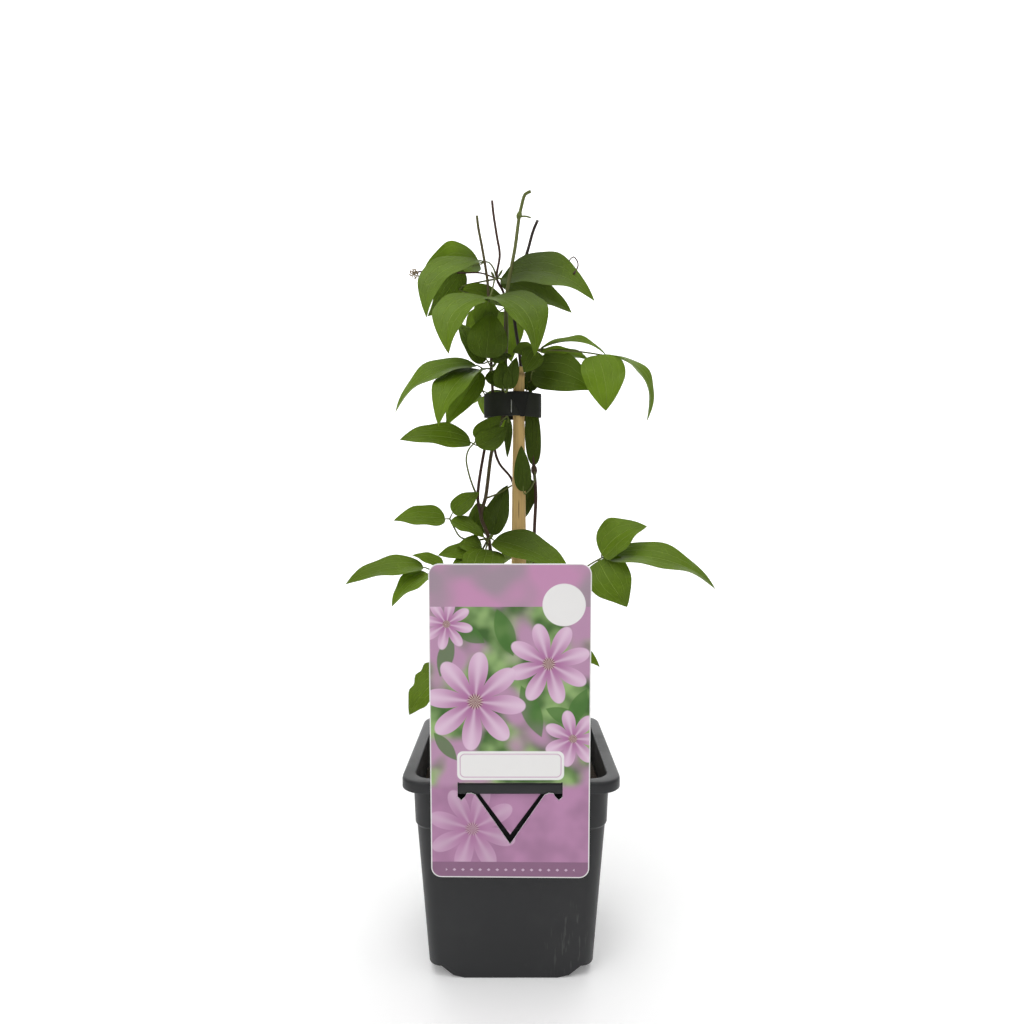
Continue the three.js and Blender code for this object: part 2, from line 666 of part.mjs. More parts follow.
const rightLeaves = [
  leaf([[6, 9.3, 384], [12, 4, 386], [16, -8, 386], [16.5, -20, 384]], [
    blade([19, -20, 385], [62, -13, 384], 22, [0.05, -0.1, 1], { arch: 6 }),
    blade([19, -20, 383], [51, -10, 381], 14, [0, 0.2, 1], { arch: 1 }),
    blade([16, -22, 383], [8, -26, 369], 15, [0.25, -0.8, 0.5]),
    blade([14, -21, 384], [1, -15, 384], 13, [0, 0.7, 0.7]),
  ]),
  leaf([[16.5, -20, 384], [30, -20, 384], [46, -17, 383.5], [61, -14, 382]], [
    blade([55, -19, 381], [60, -26, 345], 29, [0, -0.95, -0.2], { arch: 2, bend: 2 }),
    blade([63, -14, 382], [88, -22, 339], 20, [0.65, -0.5, 0.55], { arch: 12 }),
    blade([64, -10, 381], [74, -6, 366], 8, [0.3, -0.9, 0]),
  ]),
  leaf([[7.5, 9.8, 366], [13, 6, 369], [13.5, -2, 372]], [
    blade([14.5, -6, 373.5], [53, -14, 360], 28, [0, -1, -0.1], { arch: 3, bend: 4 }),
  ]),
  leaf([[8, 10, 361]], [
    blade([10.5, 8, 363], [17, 5, 379], 13, [0, -1, 0.1]),
  ]),
  leaf([[15.4, 5, 309]], [
    blade([15.4, 5.2, 312], [12.8, 4.8, 366], 11.5, [0.1, -1, 0]),
  ]),
  leaf([[15.4, 5, 309], [16, -1, 303], [12, -7, 295], [9, -8.5, 292]], [
    blade([8, -8.5, 294], [6.5, -10, 324], 12, [0, -1, 0.15]),
  ]),
  leaf([[16, 5, 200], [24, -6, 215], [35, -18, 232], [48, -26, 246], [57, -30, 252]], [
    blade([56.5, -31.5, 254], [83.5, -36, 272.5], 28, [-0.2, -0.75, 0.65], { arch: 3, bend: 3 }),
    blade([61, -31, 252], [125, -44, 236], 27, [0.1, -0.55, 0.83], { arch: 9 }),
    blade([54.5, -32, 250], [71, -42, 223], 30, [-0.1, -0.85, 0.5], { arch: 4, bend: -2 }),
  ]),
  leaf([[15.6, 4, 265], [14, 14, 256], [12, 24, 250]], [
    blade([8, 26, 248], [-20, 38, 232], 22, [-0.4, 0.5, 0.8], { arch: 5 }),
    blade([12, 27, 247], [16, 52, 220], 26, [0, 0.7, 0.7], { arch: 7 }),
    blade([16, 25, 248], [40, 36, 232], 22, [0.4, 0.5, 0.8], { arch: 5 }),
  ]),
  leaf([[3, 12, 435.5], [8, 20, 433], [12, 28, 427]], [
    blade([14, 30, 426], [26, 42, 420], 16, [0.4, 0.5, 0.8], { arch: 2 }),
    blade([13, 31, 427], [16, 51, 411], 20, [0, 0.7, 0.7], { arch: 5 }),
    blade([9, 29, 428], [-4, 43, 421], 14, [-0.4, 0.5, 0.8], { arch: 2 }),
  ]),
];

const leftShootLeaves = [
  leaf([[-38, -33, 188]], [
    blade([-37, -34.5, 185], [-62.5, -46, 158.5], 24, [-0.4, -0.8, 0.5], { arch: 3, teeth: 0.1 }),
    blade([-36, -34, 190], [-16, -40, 206], 18, [0.2, -0.7, 0.7], { arch: 3 }),
    blade([-38, -32, 191], [-42, -16, 213], 16, [-0.2, -0.6, 0.8], { arch: 3 }),
  ]),
];

const rightShootLeaves = [
  leaf([[31, -29, 194]], [
    blade([33, -30, 194], [55, -36, 185.5], 12, [0.2, -0.6, 0.8], { arch: 3 }),
    blade([30, -31, 196], [12, -38, 212], 16, [-0.2, -0.7, 0.7], { arch: 3 }),
    blade([32, -27, 197], [37, -12, 217], 16, [0.2, -0.6, 0.8], { arch: 3 }),
  ]),
];

// The bud and the broken stub at the main stem's top.
function topBud() {
  const bud = new THREE.IcosahedronGeometry(1, 1)
    .scale(...BUD.size)
    .rotateY(BUD.tilt)
    .translate(...BUD.place);
  const stub = tube([[5, -15, 471], [9, -15, 471.5], [12.7, -15, 470.5]], STALK_RADIUS, 5, 2);
  return [bud, stub];
}

// ---------------------------------------------------------------- assembly

const stems = [mainStem, backStem, rightStem, leftShoot, rightShoot];
const plant = new THREE.Group();
plant.add(
  mesh("pot", geometryOf(pot()), LOOKS.pot),
  mesh("soil", geometryOf(soil(stems)), LOOKS.soil),
  mesh("cane", cane(), LOOKS.cane),
  mesh("tie", geometryOf(tie()), LOOKS.tie),
  mesh("label", geometryOf(label()), LOOKS.label),
);

const leafy = [
  ["stem_main", [mainStem, leftBranch], [...mainLeaves, topBud()], LOOKS.leafyMain],
  ["stem_back", [backStem], [...backLeaves, [driedStalk]], LOOKS.leafyBack],
  ["stem_right", [rightStem], rightLeaves, LOOKS.leafyRight],
  ["shoot_left", [leftShoot], leftShootLeaves, LOOKS.shoot],
  ["shoot_right", [rightShoot], rightShootLeaves, LOOKS.shoot],
];
for (const [name, tubes, leaves, look] of leafy) {
  plant.add(mesh(name, geometryOf(fuse([...tubes.map(stemTube), ...leaves.flat()])), look));
}

const box = new THREE.Box3().setFromObject(plant);
const middle = box.getCenter(new THREE.Vector3());
plant.position.set(-middle.x, -middle.y, -box.min.z);

const part = new THREE.Group();
part.add(plant);

export default part;
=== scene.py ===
"""A young climbing plant in a square nursery pot, tied to a bamboo cane, with a hooked hang label.

It dresses the packed frame with finer pieces. Places are in millimetres from the middle of the
pot's foot, +Z up, the label towards -Y, and are moved to the pot's place in the frame at the end.
"""

import math

import bpy
import numpy as np
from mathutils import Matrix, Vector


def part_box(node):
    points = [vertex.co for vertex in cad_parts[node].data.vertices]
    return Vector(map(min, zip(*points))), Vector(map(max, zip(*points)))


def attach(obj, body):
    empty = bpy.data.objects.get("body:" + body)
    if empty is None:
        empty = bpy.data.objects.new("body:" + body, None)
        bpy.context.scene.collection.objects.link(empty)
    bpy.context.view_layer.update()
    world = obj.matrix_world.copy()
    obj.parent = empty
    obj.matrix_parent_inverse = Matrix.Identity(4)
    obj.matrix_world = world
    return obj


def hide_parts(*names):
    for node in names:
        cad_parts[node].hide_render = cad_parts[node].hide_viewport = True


bl_info = {
    "name": "Potted Climber",
    "version": (1, 0, 0),
    "blender": (4, 2, 0),
    "location": "View3D > Sidebar > Potted Climber",
    "description": "Builds a young climbing plant in a nursery pot, with cane, tie and label",
    "category": "Add Mesh",
}

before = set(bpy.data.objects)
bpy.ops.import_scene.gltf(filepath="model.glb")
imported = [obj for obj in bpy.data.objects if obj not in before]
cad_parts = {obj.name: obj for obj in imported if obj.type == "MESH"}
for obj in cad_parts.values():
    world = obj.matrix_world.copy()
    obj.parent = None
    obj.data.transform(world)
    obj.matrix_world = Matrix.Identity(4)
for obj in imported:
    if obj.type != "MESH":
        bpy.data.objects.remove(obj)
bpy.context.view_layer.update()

MM = 0.001
POT_LOW, POT_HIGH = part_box("pot")
CENTRE = np.array([(POT_LOW.x + POT_HIGH.x) / 2, (POT_LOW.y + POT_HIGH.y) / 2, 0.0])
RIM_WIDTH = (POT_HIGH.x - POT_LOW.x) / MM
POT_HEIGHT = (POT_HIGH.z - POT_LOW.z) / MM

# ---------------------------------------------------------------- sizes, in millimetres

RIM_HALF = RIM_WIDTH / 2
RIM_CORNER = 14
CORNER_TAPER = 0.4  # corner radius lost for each millimetre further in
SKIRT_HEIGHT = 6.5
NECK_HALF = 59
STEP_HEIGHT = 93
STEP_HALF = 56.8
FOOT_HALF = 50
BASE_HEIGHT = 7.2
BASE_THICKNESS = 1.5
TAB_HALF = 34
TAB_SLOPE = 4
DRAIN_RADIUS = 5
DRAIN_REACH = 31
RIB_PITCH = 5.2
SCUFF = (36, 24)  # middle of the rubbed place on the front: across, up
SCUFF_SPREAD = (13, 24)

SOIL_TOP = 108
CRUMB_SEED = 5
ROOT_END = 80.35

CANE_PLACE = (5, 0)
CANE_BOTTOM, CANE_TOP = 40, 377
CANE_RADII = ((40, 5.2), (108, 5.2), (266, 4.8), (345, 3.9), (377, 3.9))
CANE_RINGS = (202, 372)
CANE_CRACK = (5, 282)  # across, up

TIE_PLACE = (1, 5)
TIE_HALVES = (19, 9.9)
TIE_THICKNESS = 0.9
TIE_BOTTOM, TIE_TOP = 344, 360
FLAP_LEFT, FLAP_RIGHT = (-1.2, 6.0), (12.0, 8.6)  # the folded end's edges, above and below
FLAP_STAND = 1.1
PIN = (0.1, 346.6, 354.6)  # across, low end, high end
PIN_RADIUS = 0.3

LABEL_X = -0.6
LABEL_HALF = 46
LABEL_BELOW, LABEL_ABOVE = 53.5, 131.5
LABEL_CORNER = 6
LABEL_LEAN = 0.0785
LABEL_LINE = 121
LABEL_BACK = -(RIM_HALF + 0.5)
WARP_START, WARP_SPAN = (-5, 5), (51, 58)  # where the card's warp starts and how far it grows
# The hook's cut-out, across and up from the rim's line: its right edge downwards, its low point.
SLOT_SIDE = (
    (30.4, 4), (30.4, -4.85), (28.25, -7), (26.1, -4.85), (25.1, -2.8), (22.5, -2.6), (20, -3.6),
)
SLOT_APEX = -33.5
TONGUE_HALF, TONGUE_SHOULDER = 29.5, 19  # half-widths: the bar's, and the point's under it
TONGUE_BACK = -62.5
TONGUE_TOP, TONGUE_BAR, TONGUE_APEX = 125.0, 118.4, 93

BLADE_PEAK = 0.435  # the largest value of u^0.44 (1-u)^0.88
BLADE_FOLD = 0.25
BLADE_TWIST = 0.3  # the largest turn at the tip, in radians
CREASE_ROUND = 0.08  # how round the fold is, as a share of the half-width
RIPPLE_HEIGHT, RIPPLE_WAVES = 0.045, 1.9  # share of the width, waves along the leaflet
CURL_START, TIP_CURL = 0.7, 0.5
TOOTH_WAVES = 4
VEIN_GROOVES = ((0.0, 0.12), (0.42, 0.05))  # place as a share of the half-width, depth
GROOVE_WIDTH = 0.07

LEAF_STALK = {"radius": 0.68, "taper": 0.75, "sides": 8, "step": 1.5, "age": (0.5, 0.25)}
LEAFLET_STALK = {"radius": 0.5, "taper": 0.6, "sides": 8, "step": 1.0, "age": (0.3, 0.15)}
STALK_DEPTH = 0.12  # how far a leaflet's stalk runs on inside it, as a share of its length

# The dried tip's curls: how many, the golden angle between them, their radius, their spread.
KNOT_CURLS, CURL_TURN, CURL_RADIUS, CURL_SPREAD = 6, 2.4, 1.35, 1.5

STAGE_HALF = 4500
STAGE_FRONT, STAGE_BACK = -2500, 2600
STAGE_HEIGHT, STAGE_BEND = 4000, 900
CAMERA_PLACE = (0.5, -469, 285)
CAMERA_TILT = 0.01

# The following are in metres.
PAINTED_SHADE_REACH = (0.012, 0.052)  # painted shade: leaves are darkest nearer the cane than this, plain further out
AMBIENT = 0.42  # how strongly the white background lights the plant
LIGHT_AIM = 0.25  # height that the front lights point at
WALL_AIM = (0.0, -1.0, 0.35)  # the rear lights shine away from here, at the backdrop
# Each light: its place about the aim, its size and its power.
LIGHTS = (
    ("top", (0.0, -0.35, 1.5), 1.8, 15.0),
    ("key", (-0.8, -1.1, 1.0), 1.0, 5.0),
    ("back_left", (-1.4, 1.2, 1.7), 1.2, 40.0),
    ("back_right", (1.4, 1.2, 1.7), 1.2, 40.0),
)

# ---------------------------------------------------------------- stems and leaves


def underground(x, y):
    """The part of a stem that stands in the mix."""
    return [(x, y, ROOT_END), (x, y, 96), (x, y, 112)]


LOW_FORK = (-15, -6, 263)
MID_FORK = (-13, -5, 375)
TOP_FORK = (-9.6, 0, 436)

# Each stem: its CAD node, its radius, how woody its foot and tip are, and its route.
STEMS = [
    ("stem_main", 1.3, (0.95, 0.35), underground(-6, -4) + [
        (-8, -5, 160), (-11, -6, 210), (-15, -6, 263), (-20, -6, 278), (-17, -6, 290),
        (-13, -5, 320), (-9, -2.5, 335), (-6.5, 0, 344), (-6, 0.3, 352), (-5.5, -0.5, 361),
        (-4, -7, 378), (-3, -13, 394), (-3, -19, 418), (0, -21, 436), (2.5, -19, 450),
        (5, -15, 470), (7, -14, 480), (9, -14, 486), (12.6, -14, 488),
    ]),
    ("stem_main", 1.1, (0.9, 0.55), [
        (-20, -6, 278), (-22, -8, 290), (-18, -6, 320), (-15, -1, 335), (-12, 3, 345),
        (-12, 3.5, 352), (-12.5, 2, 361), (-13, -5, 375), (-14, -9, 400), (-15, -12, 424),
        (-15.5, -12, 431), (-18.5, -12, 450), (-21.5, -12, 466), (-22.3, -12, 473),
    ]),
    ("stem_back", 1.0, (0.9, 0.8), underground(2, 12) + [
        (2, 10, 200), (2, 9, 285), (0.5, 8.3, 302), (-8, 5.5, 313), (-11, 5, 322),
        (-10, 6.5, 334), (-5, 9, 345), (-3, 9, 352), (-3, 8, 361), (-4, 5, 400), (-5, 3, 427),
        (-9.6, 0, 436), (-7.7, 0, 452), (-9.7, 0, 465), (-12, 0, 480), (-12.8, 0, 488),
    ]),
    ("stem_right", 1.2, (0.5, 1.35), underground(16, 6) + [
        (16, 5, 200), (15.6, 4, 265), (16.6, 4, 292), (15.4, 5, 309), (13, 8, 335),
        (9.5, 10, 345), (9, 10, 352), (8, 10, 361), (6, 9.3, 384), (1, 12, 426),
        (3, 12, 435.5), (11, 10.5, 458), (15, 10, 472), (18, 10, 479),
    ]),
    ("shoot_left", 0.9, (0.35, 0.25), underground(-22, -14) + [
        (-28, -22, 150), (-35, -30, 178), (-38, -33, 188),
    ]),
    ("shoot_right", 0.9, (0.35, 0.25), underground(24, -16) + [
        (26, -22, 150), (30, -28, 185), (31, -29, 194),
    ]),
]

# Each leaf: its stalk's route, then its leaflets as base, tip, width, the way its upper side
# faces, how far its midrib bows upwards (arch) and sideways (bend), and its margin's teeth.
LEAVES = {
    "stem_main": [
        ([LOW_FORK, (-24, -12, 262), (-33, -13, 264), (-37.5, -14, 271), (-40, -14, 276)], [
            ((-38, -14, 280), (-21, -12, 293.5), 14, (0, -0.9, 0.3), 1),
            ((-43, -14, 276), (-75, -22, 276), 19, (0, -0.75, 0.65), 2),
            ((-39, -15, 275), (-17, -16, 264.5), 15, (0.1, -0.6, 0.8), 1),
        ]),
        ([LOW_FORK, (-16, -11, 258), (-17, -15, 255.5)], [
            ((-19, -16, 255), (-34, -23, 260), 17, (-0.2, -0.7, 0.6), 2),
            ((-20, -17, 254), (-46, -27, 254), 15, (0, -0.75, 0.65), 1),
            ((-18, -18, 254), (-38, -28, 246), 13, (-0.1, -0.7, 0.7), 2),
            ((-15, -20, 256), (-22, -42, 226), 27, (0, -0.8, 0.5), 6),
        ]),
        ([LOW_FORK, (-22, -16, 252), (-36, -24, 246), (-50, -29, 244)], [
            ((-55, -31, 246), (-102, -40, 238), 20, (-0.1, -0.55, 0.83), 4),
            ((-52, -32, 242), (-73, -44, 224), 18, (-0.3, -0.7, 0.65), 3),
        ]),
        ([(-36, -24, 246)], [((-43, -28, 247), (-62, -30, 254), 10, (0.2, -0.7, 0.7), 1)]),
        ([LOW_FORK, (-16, -3, 265)], [
            ((-18, 0, 266), (-23, 5, 287), 20, (0, -1, 0.1), 1),
            ((-13, -2, 265), (-3, 5.5, 299), 18, (-0.3, -0.9, 0.1), 1),
        ]),
        ([LOW_FORK, (-13, -10, 263)], [
            ((-11, -14, 262), (38, -36, 242), 26, (0.1, -0.7, 0.7), 5),
        ]),
        ([(-18, -7, 289), (-8, 0, 293), (0, 4.4, 298), (5, 6.6, 301), (10, 9, 305)], [
            ((12, 10, 303), (9.5, 9, 276), 12, (0.2, -1, 0), 1),
        ]),
        ([
            (-22, -8, 290), (-25, -10, 297), (-27.5, -13, 305), (-29, -17, 315), (-27, -20, 321),
            (-24, -22, 324),
        ], [
            ((-26, -22, 325), (-69, -34, 327), 22, (-0.1, -0.75, 0.65), 3),
            ((-22, -20, 327), (-7, -10, 343), 15, (0.2, 0.9, 0.2)),
            ((-22, -21, 323), (-3, -12, 336), 16, (0.1, -0.9, 0.3), 0, -2),
        ]),
        ([(-9, -2.5, 335), (-6, -6, 341), (-2.5, -7.5, 343.5)], [
            ((-2, -7.8, 342), (-2.5, -8, 316), 6, (0.2, -1, 0)),
        ]),
        ([MID_FORK, (-16, -9, 374.5), (-18.5, -11, 374)], [
            ((-23, -12, 376), (-75, -22, 346), 26, (-0.4, -0.65, 0.65), 9),
            ((-20, -13, 373), (-45, -44, 335), 32, (-0.4, -0.75, 0.5), 8),
            ((-20, -10, 372), (-41, -24, 337), 16, (0.3, -0.9, 0)),
        ]),
        ([MID_FORK, (-15, -14, 378)], [
            ((-16, -20, 379), (-13, -23, 408), 27, (0, -1, -0.1), 1),
            ((-19, -12, 377), (-35, -10, 405), 15, (0.3, -0.9, 0.2), 2),
            ((-12, -18, 377.5), (0.5, -19, 381), 12, (0, -0.75, 0.65)),
        ]),
        ([(-4, -7, 378), (-3, -12, 368), (-3.5, -14, 358)], [
            ((-5, -15, 360), (-6, -17, 379), 13, (0, -1, 0)),
            ((-2, -15.5, 360), (3.5, -17.5, 380.5), 10, (0.1, -1, 0.2)),
        ]),
        ([MID_FORK], [((-13, -8, 373), (-8, -10, 361.5), 12, (0, -1, 0))]),
        ([MID_FORK, (-18, 6, 370), (-20, 16, 364)], [
            ((-22, 18, 362), (-46, 28, 342), 22, (-0.4, 0.5, 0.8), 5),
            ((-18, 19, 361), (-6, 40, 334), 20, (0, 0.7, 0.7), 6),
            ((-17, 18, 363), (0, 27, 346), 18, (0.4, 0.6, 0.7), 3),
        ]),
    ],
    "stem_back": [
        ([TOP_FORK, (-12, -1, 443), (-15, -3, 446), (-18, -4, 446)], [
            ((-21, 2, 446), (-62, 10, 440), 29, (-0.1, 0.5, 0.85), 9),
            ((-21.5, -8, 445.5), (-53, -34, 403), 24, (-0.2, -0.85, 0.45), 4, -12),
            ((-33, 1, 443), (-56, 5, 412), 18, (0.5, -0.8, -0.2), 2),
        ]),
        ([TOP_FORK, (-22, 1, 434), (-32, 2, 432), (-35, 3, 430)], [
            ((-33, 3.5, 429), (2, 9, 419), 17, (0, 0.6, 0.8), 2),
        ]),
        ([TOP_FORK, (-10.5, -8, 434), (-12, -18, 424), (-13.3, -24, 417)], [
            ((-15, -26, 416), (-38, -50, 377), 30, (-0.25, -0.8, 0.5), 6, -9),
            ((-12, -26, 416), (15, -44, 377), 34, (0.3, -0.8, 0.5), 9, 6),
            ((-14.5, -22, 414.5), (-21, -13, 396), 17, (0.1, 0.9, 0.3)),
        ]),
        ([TOP_FORK, (-8, -3, 435.5)], [
            ((-6, -4, 435), (53, -22, 417), 32, (0.1, -0.9, 0.4), 8, 6),
            ((-7, -2, 435), (41, 1, 415), 24, (0.1, 0.6, 0.8), 3),
        ]),
        ([TOP_FORK, (-6, 12, 432), (-4, 24, 424)], [
            ((-8, 27, 422), (-34, 36, 402), 24, (-0.3, 0.5, 0.8), 5),
            ((-4, 28, 422), (0, 52, 392), 26, (0, 0.6, 0.8), 8),
            ((0, 26, 421), (20, 38, 404), 22, (0.4, 0.5, 0.8), 5),
        ]),
        ([(2, 10, 200), (-6, 20, 196), (-12, 28, 190)], [
            ((-14, 30, 188), (-40, 38, 172), 22, (-0.4, 0.5, 0.8), 5),
            ((-12, 31, 187), (-12, 54, 160), 24, (0, 0.7, 0.7), 7),
            ((-8, 30, 189), (14, 40, 178), 20, (0.4, 0.5, 0.8), 4),
        ]),
    ],
    "stem_right": [
        ([(6, 9.3, 384), (12, 4, 386), (16, -8, 386), (16.5, -20, 384)], [
            ((19, -20, 385), (62, -13, 384), 22, (0.05, -0.1, 1), 6),
            ((19, -20, 383), (51, -10, 381), 14, (0, 0.2, 1), 1),
            ((16, -22, 383), (8, -26, 369), 15, (0.25, -0.8, 0.5)),
            ((14, -21, 384), (1, -15, 384), 13, (0, 0.7, 0.7)),
        ]),
        ([(16.5, -20, 384), (30, -20, 384), (46, -17, 383.5), (61, -14, 382)], [
            ((55, -19, 381), (60, -26, 345), 29, (0, -0.95, -0.2), 2, 2),
            ((63, -14, 382), (88, -22, 339), 20, (0.65, -0.5, 0.55), 12),
            ((64, -10, 381), (74, -6, 366), 8, (0.3, -0.9, 0)),
        ]),
        ([(7.5, 9.8, 366), (13, 6, 369), (13.5, -2, 372)], [
            ((14.5, -6, 373.5), (53, -14, 360), 28, (0, -1, -0.1), 3, 4),
        ]),
        ([(8, 10, 361)], [((10.5, 8, 363), (17, 5, 379), 13, (0, -1, 0.1))]),
        ([(15.4, 5, 309)], [((15.4, 5.2, 312), (12.8, 4.8, 366), 11.5, (0.1, -1, 0))]),
        ([(15.4, 5, 309), (16, -1, 303), (12, -7, 295), (9, -8.5, 292)], [
            ((8, -8.5, 294), (6.5, -10, 324), 12, (0, -1, 0.15)),
        ]),
        ([(16, 5, 200), (24, -6, 215), (35, -18, 232), (48, -26, 246), (57, -30, 252)], [
            ((56.5, -31.5, 254), (83.5, -36, 272.5), 28, (-0.2, -0.75, 0.65), 3, 3),
            ((61, -31, 252), (125, -44, 236), 27, (0.1, -0.55, 0.83), 9),
            ((54.5, -32, 250), (71, -42, 223), 30, (-0.1, -0.85, 0.5), 4, -2),
        ]),
        ([(15.6, 4, 265), (14, 14, 256), (12, 24, 250)], [
            ((8, 26, 248), (-20, 38, 232), 22, (-0.4, 0.5, 0.8), 5),
            ((12, 27, 247), (16, 52, 220), 26, (0, 0.7, 0.7), 7),
            ((16, 25, 248), (40, 36, 232), 22, (0.4, 0.5, 0.8), 5),
        ]),
        ([(3, 12, 435.5), (8, 20, 433), (12, 28, 427)], [
            ((14, 30, 426), (26, 42, 420), 16, (0.4, 0.5, 0.8), 2),
            ((13, 31, 427), (16, 51, 411), 20, (0, 0.7, 0.7), 5),
            ((9, 29, 428), (-4, 43, 421), 14, (-0.4, 0.5, 0.8), 2),
        ]),
    ],
    "shoot_left": [
        ([(-38, -33, 188)], [
            ((-37, -34.5, 185), (-62.5, -46, 158.5), 24, (-0.4, -0.8, 0.5), 3, 0, 0.1),
            ((-36, -34, 190), (-16, -40, 206), 18, (0.2, -0.7, 0.7), 3),
            ((-38, -32, 191), (-42, -16, 213), 16, (-0.2, -0.6, 0.8), 3),
        ]),
    ],
    "shoot_right": [
        ([(31, -29, 194)], [
            ((33, -30, 194), (55, -36, 185.5), 12, (0.2, -0.6, 0.8), 3),
            ((30, -31, 196), (12, -38, 212), 16, (-0.2, -0.7, 0.7), 3),
            ((32, -27, 197), (37, -12, 217), 16, (0.2, -0.6, 0.8), 3),
        ]),
    ],
}

# What else the stems carry as thin tubes: CAD node, radius, taper, the distance between its
# rings, how woody, and route. These are the dried tip's stalk, a curled tendril, a bud's stub.
SIDE_TUBES = [
    ("stem_back", 0.6, 0.9, 1.2, (0.8, 1.0), [
        TOP_FORK, (-20, -1, 439.5), (-31, 0, 440), (-54, -2, 439.5), (-60, -4, 439.5),
        (-63.5, -7.5, 437.5),
    ]),
    ("stem_back", 0.55, 0.7, 0.8, (0.9, 0.9), [
        (40, -19.5, 433), (43, -14, 439), (43.3, -9, 444.5), (40.9, -8, 447.8), (38.3, -8, 445.6),
        (37.4, -7, 440),
    ]),
    ("stem_main", 0.7, 0.8, 0.8, (0.2, 0.1), [(5, -15, 471), (9, -15, 471.5), (12.7, -15, 470.5)]),
]
# Buds and knuckles: CAD node, foot, tip, radius, how woody.
BUDS = [
    ("stem_main", (4.2, -15, 469), (6, -15, 475.4), 1.75, 0.05),
    ("stem_main", (-15, -8, 262), (-11.5, -13, 266), 0.9, 0.1),
    ("stem_main", (-16, -9, 261), (-18, -15, 264.5), 0.8, 0.1),
    ("stem_main", (-13, -8, 375), (-9.5, -12, 378), 0.9, 0.1),
    ("stem_back", (-9, -2, 436), (-5.5, -6, 440.5), 0.8, 0.1),
    ("stem_back", (-11, -2, 436), (-13.5, -5, 439.5), 0.8, 0.1),
    ("stem_right", (15.9, 4.6, 304.5), (15, 5, 313), 2.0, 0.75),
]
KNOT = (-64, -8, 437)  # the dried tip's middle

# ---------------------------------------------------------------- surfaces


def grid_faces(rows, columns, closed_rows=False):
    """Quads over a grid whose columns close round, and whose rows close too if asked."""
    spans = rows if closed_rows else rows - 1
    row, column = np.meshgrid(np.arange(spans), np.arange(columns), indexing="ij")
    up, on = (row + 1) % rows, (column + 1) % columns
    corners = (row * columns + column, row * columns + on, up * columns + on, up * columns + column)
    return np.stack(corners, -1).reshape(-1, 4).tolist()


def skin(rings, traits=None):
    """A closed skin over rings (ring, place on the ring, xyz), with a pole at each end's middle.

    traits holds arrays of the rings' shape without xyz; a pole takes its ring's mean.
    """
    count, sides = rings.shape[:2]
    poles = rings[[0, -1]].mean(1)
    first = count * sides
    on = np.arange(sides)
    after = (on + 1) % sides
    last = (count - 1) * sides
    start = np.stack([np.full(sides, first), after, on], 1)
    end = np.stack([np.full(sides, first + 1), last + on, last + after], 1)
    made = {}
    for name, values in (traits or {}).items():
        flat = values.reshape(first, *values.shape[2:])
        made[name] = np.concatenate([flat, values[[0, -1]].mean(1)])
    return {
        "points": np.concatenate([rings.reshape(-1, 3), poles]),
        "faces": grid_faces(count, sides) + start.tolist() + end.tolist(),
        "traits": made,
    }


def joined(shells):
    """Several shells as one, still apart from each other."""
    faces, offset = [], 0
    for shell in shells:
        faces += [[corner + offset for corner in face] for face in shell["faces"]]
        offset += len(shell["points"])
    names = shells[0]["traits"]
    return {
        "points": np.concatenate([shell["points"] for shell in shells]),
        "faces": faces,
        "traits": {
            name: np.concatenate([shell["traits"][name] for shell in shells]) for name in names
        },
    }


def place_mesh(name, shell, sharp_angle=None):
    """A shell in millimetres becomes a smooth mesh in metres, at the pot's place in the frame."""
    mesh = bpy.data.meshes.new(name)
    mesh.from_pydata((shell["points"] * MM + CENTRE).tolist(), [], shell["faces"])
    for trait, values in shell.get("traits", {}).items():
        kind, field = ("FLOAT", "value") if values.ndim == 1 else ("FLOAT_VECTOR", "vector")
        layer = mesh.attributes.new(trait, kind, "POINT")
        layer.data.foreach_set(field, values.astype(np.float32).ravel())
    mesh.polygons.foreach_set("use_smooth", np.ones(len(mesh.polygons), bool))
    if sharp_angle:
        mesh.set_sharp_from_angle(angle=math.radians(sharp_angle))
    mesh.update()
    piece = bpy.data.objects.new(name, mesh)
    bpy.context.scene.collection.objects.link(piece)
    return piece


def settle(piece, node, slot, *materials):
    """The piece rides on the plant's one body and stands for a CAD node."""
    for material in materials:
        piece.data.materials.append(material)
    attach(piece, "root")
    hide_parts(node)
    return piece


def unit(vectors):
    """Vectors at length one."""
    return vectors / np.linalg.norm(vectors, axis=-1, keepdims=True)


# A tube's sides are taken from the one of these directions that its route stays clearest of.
FIXED_WAYS = unit(np.array(
    [(1, 0, 0), (0, 1, 0), (0, 0, 1), (1, 1, 0), (1, -1, 0), (0, 1, 1), (1, 0, 1)], float
))


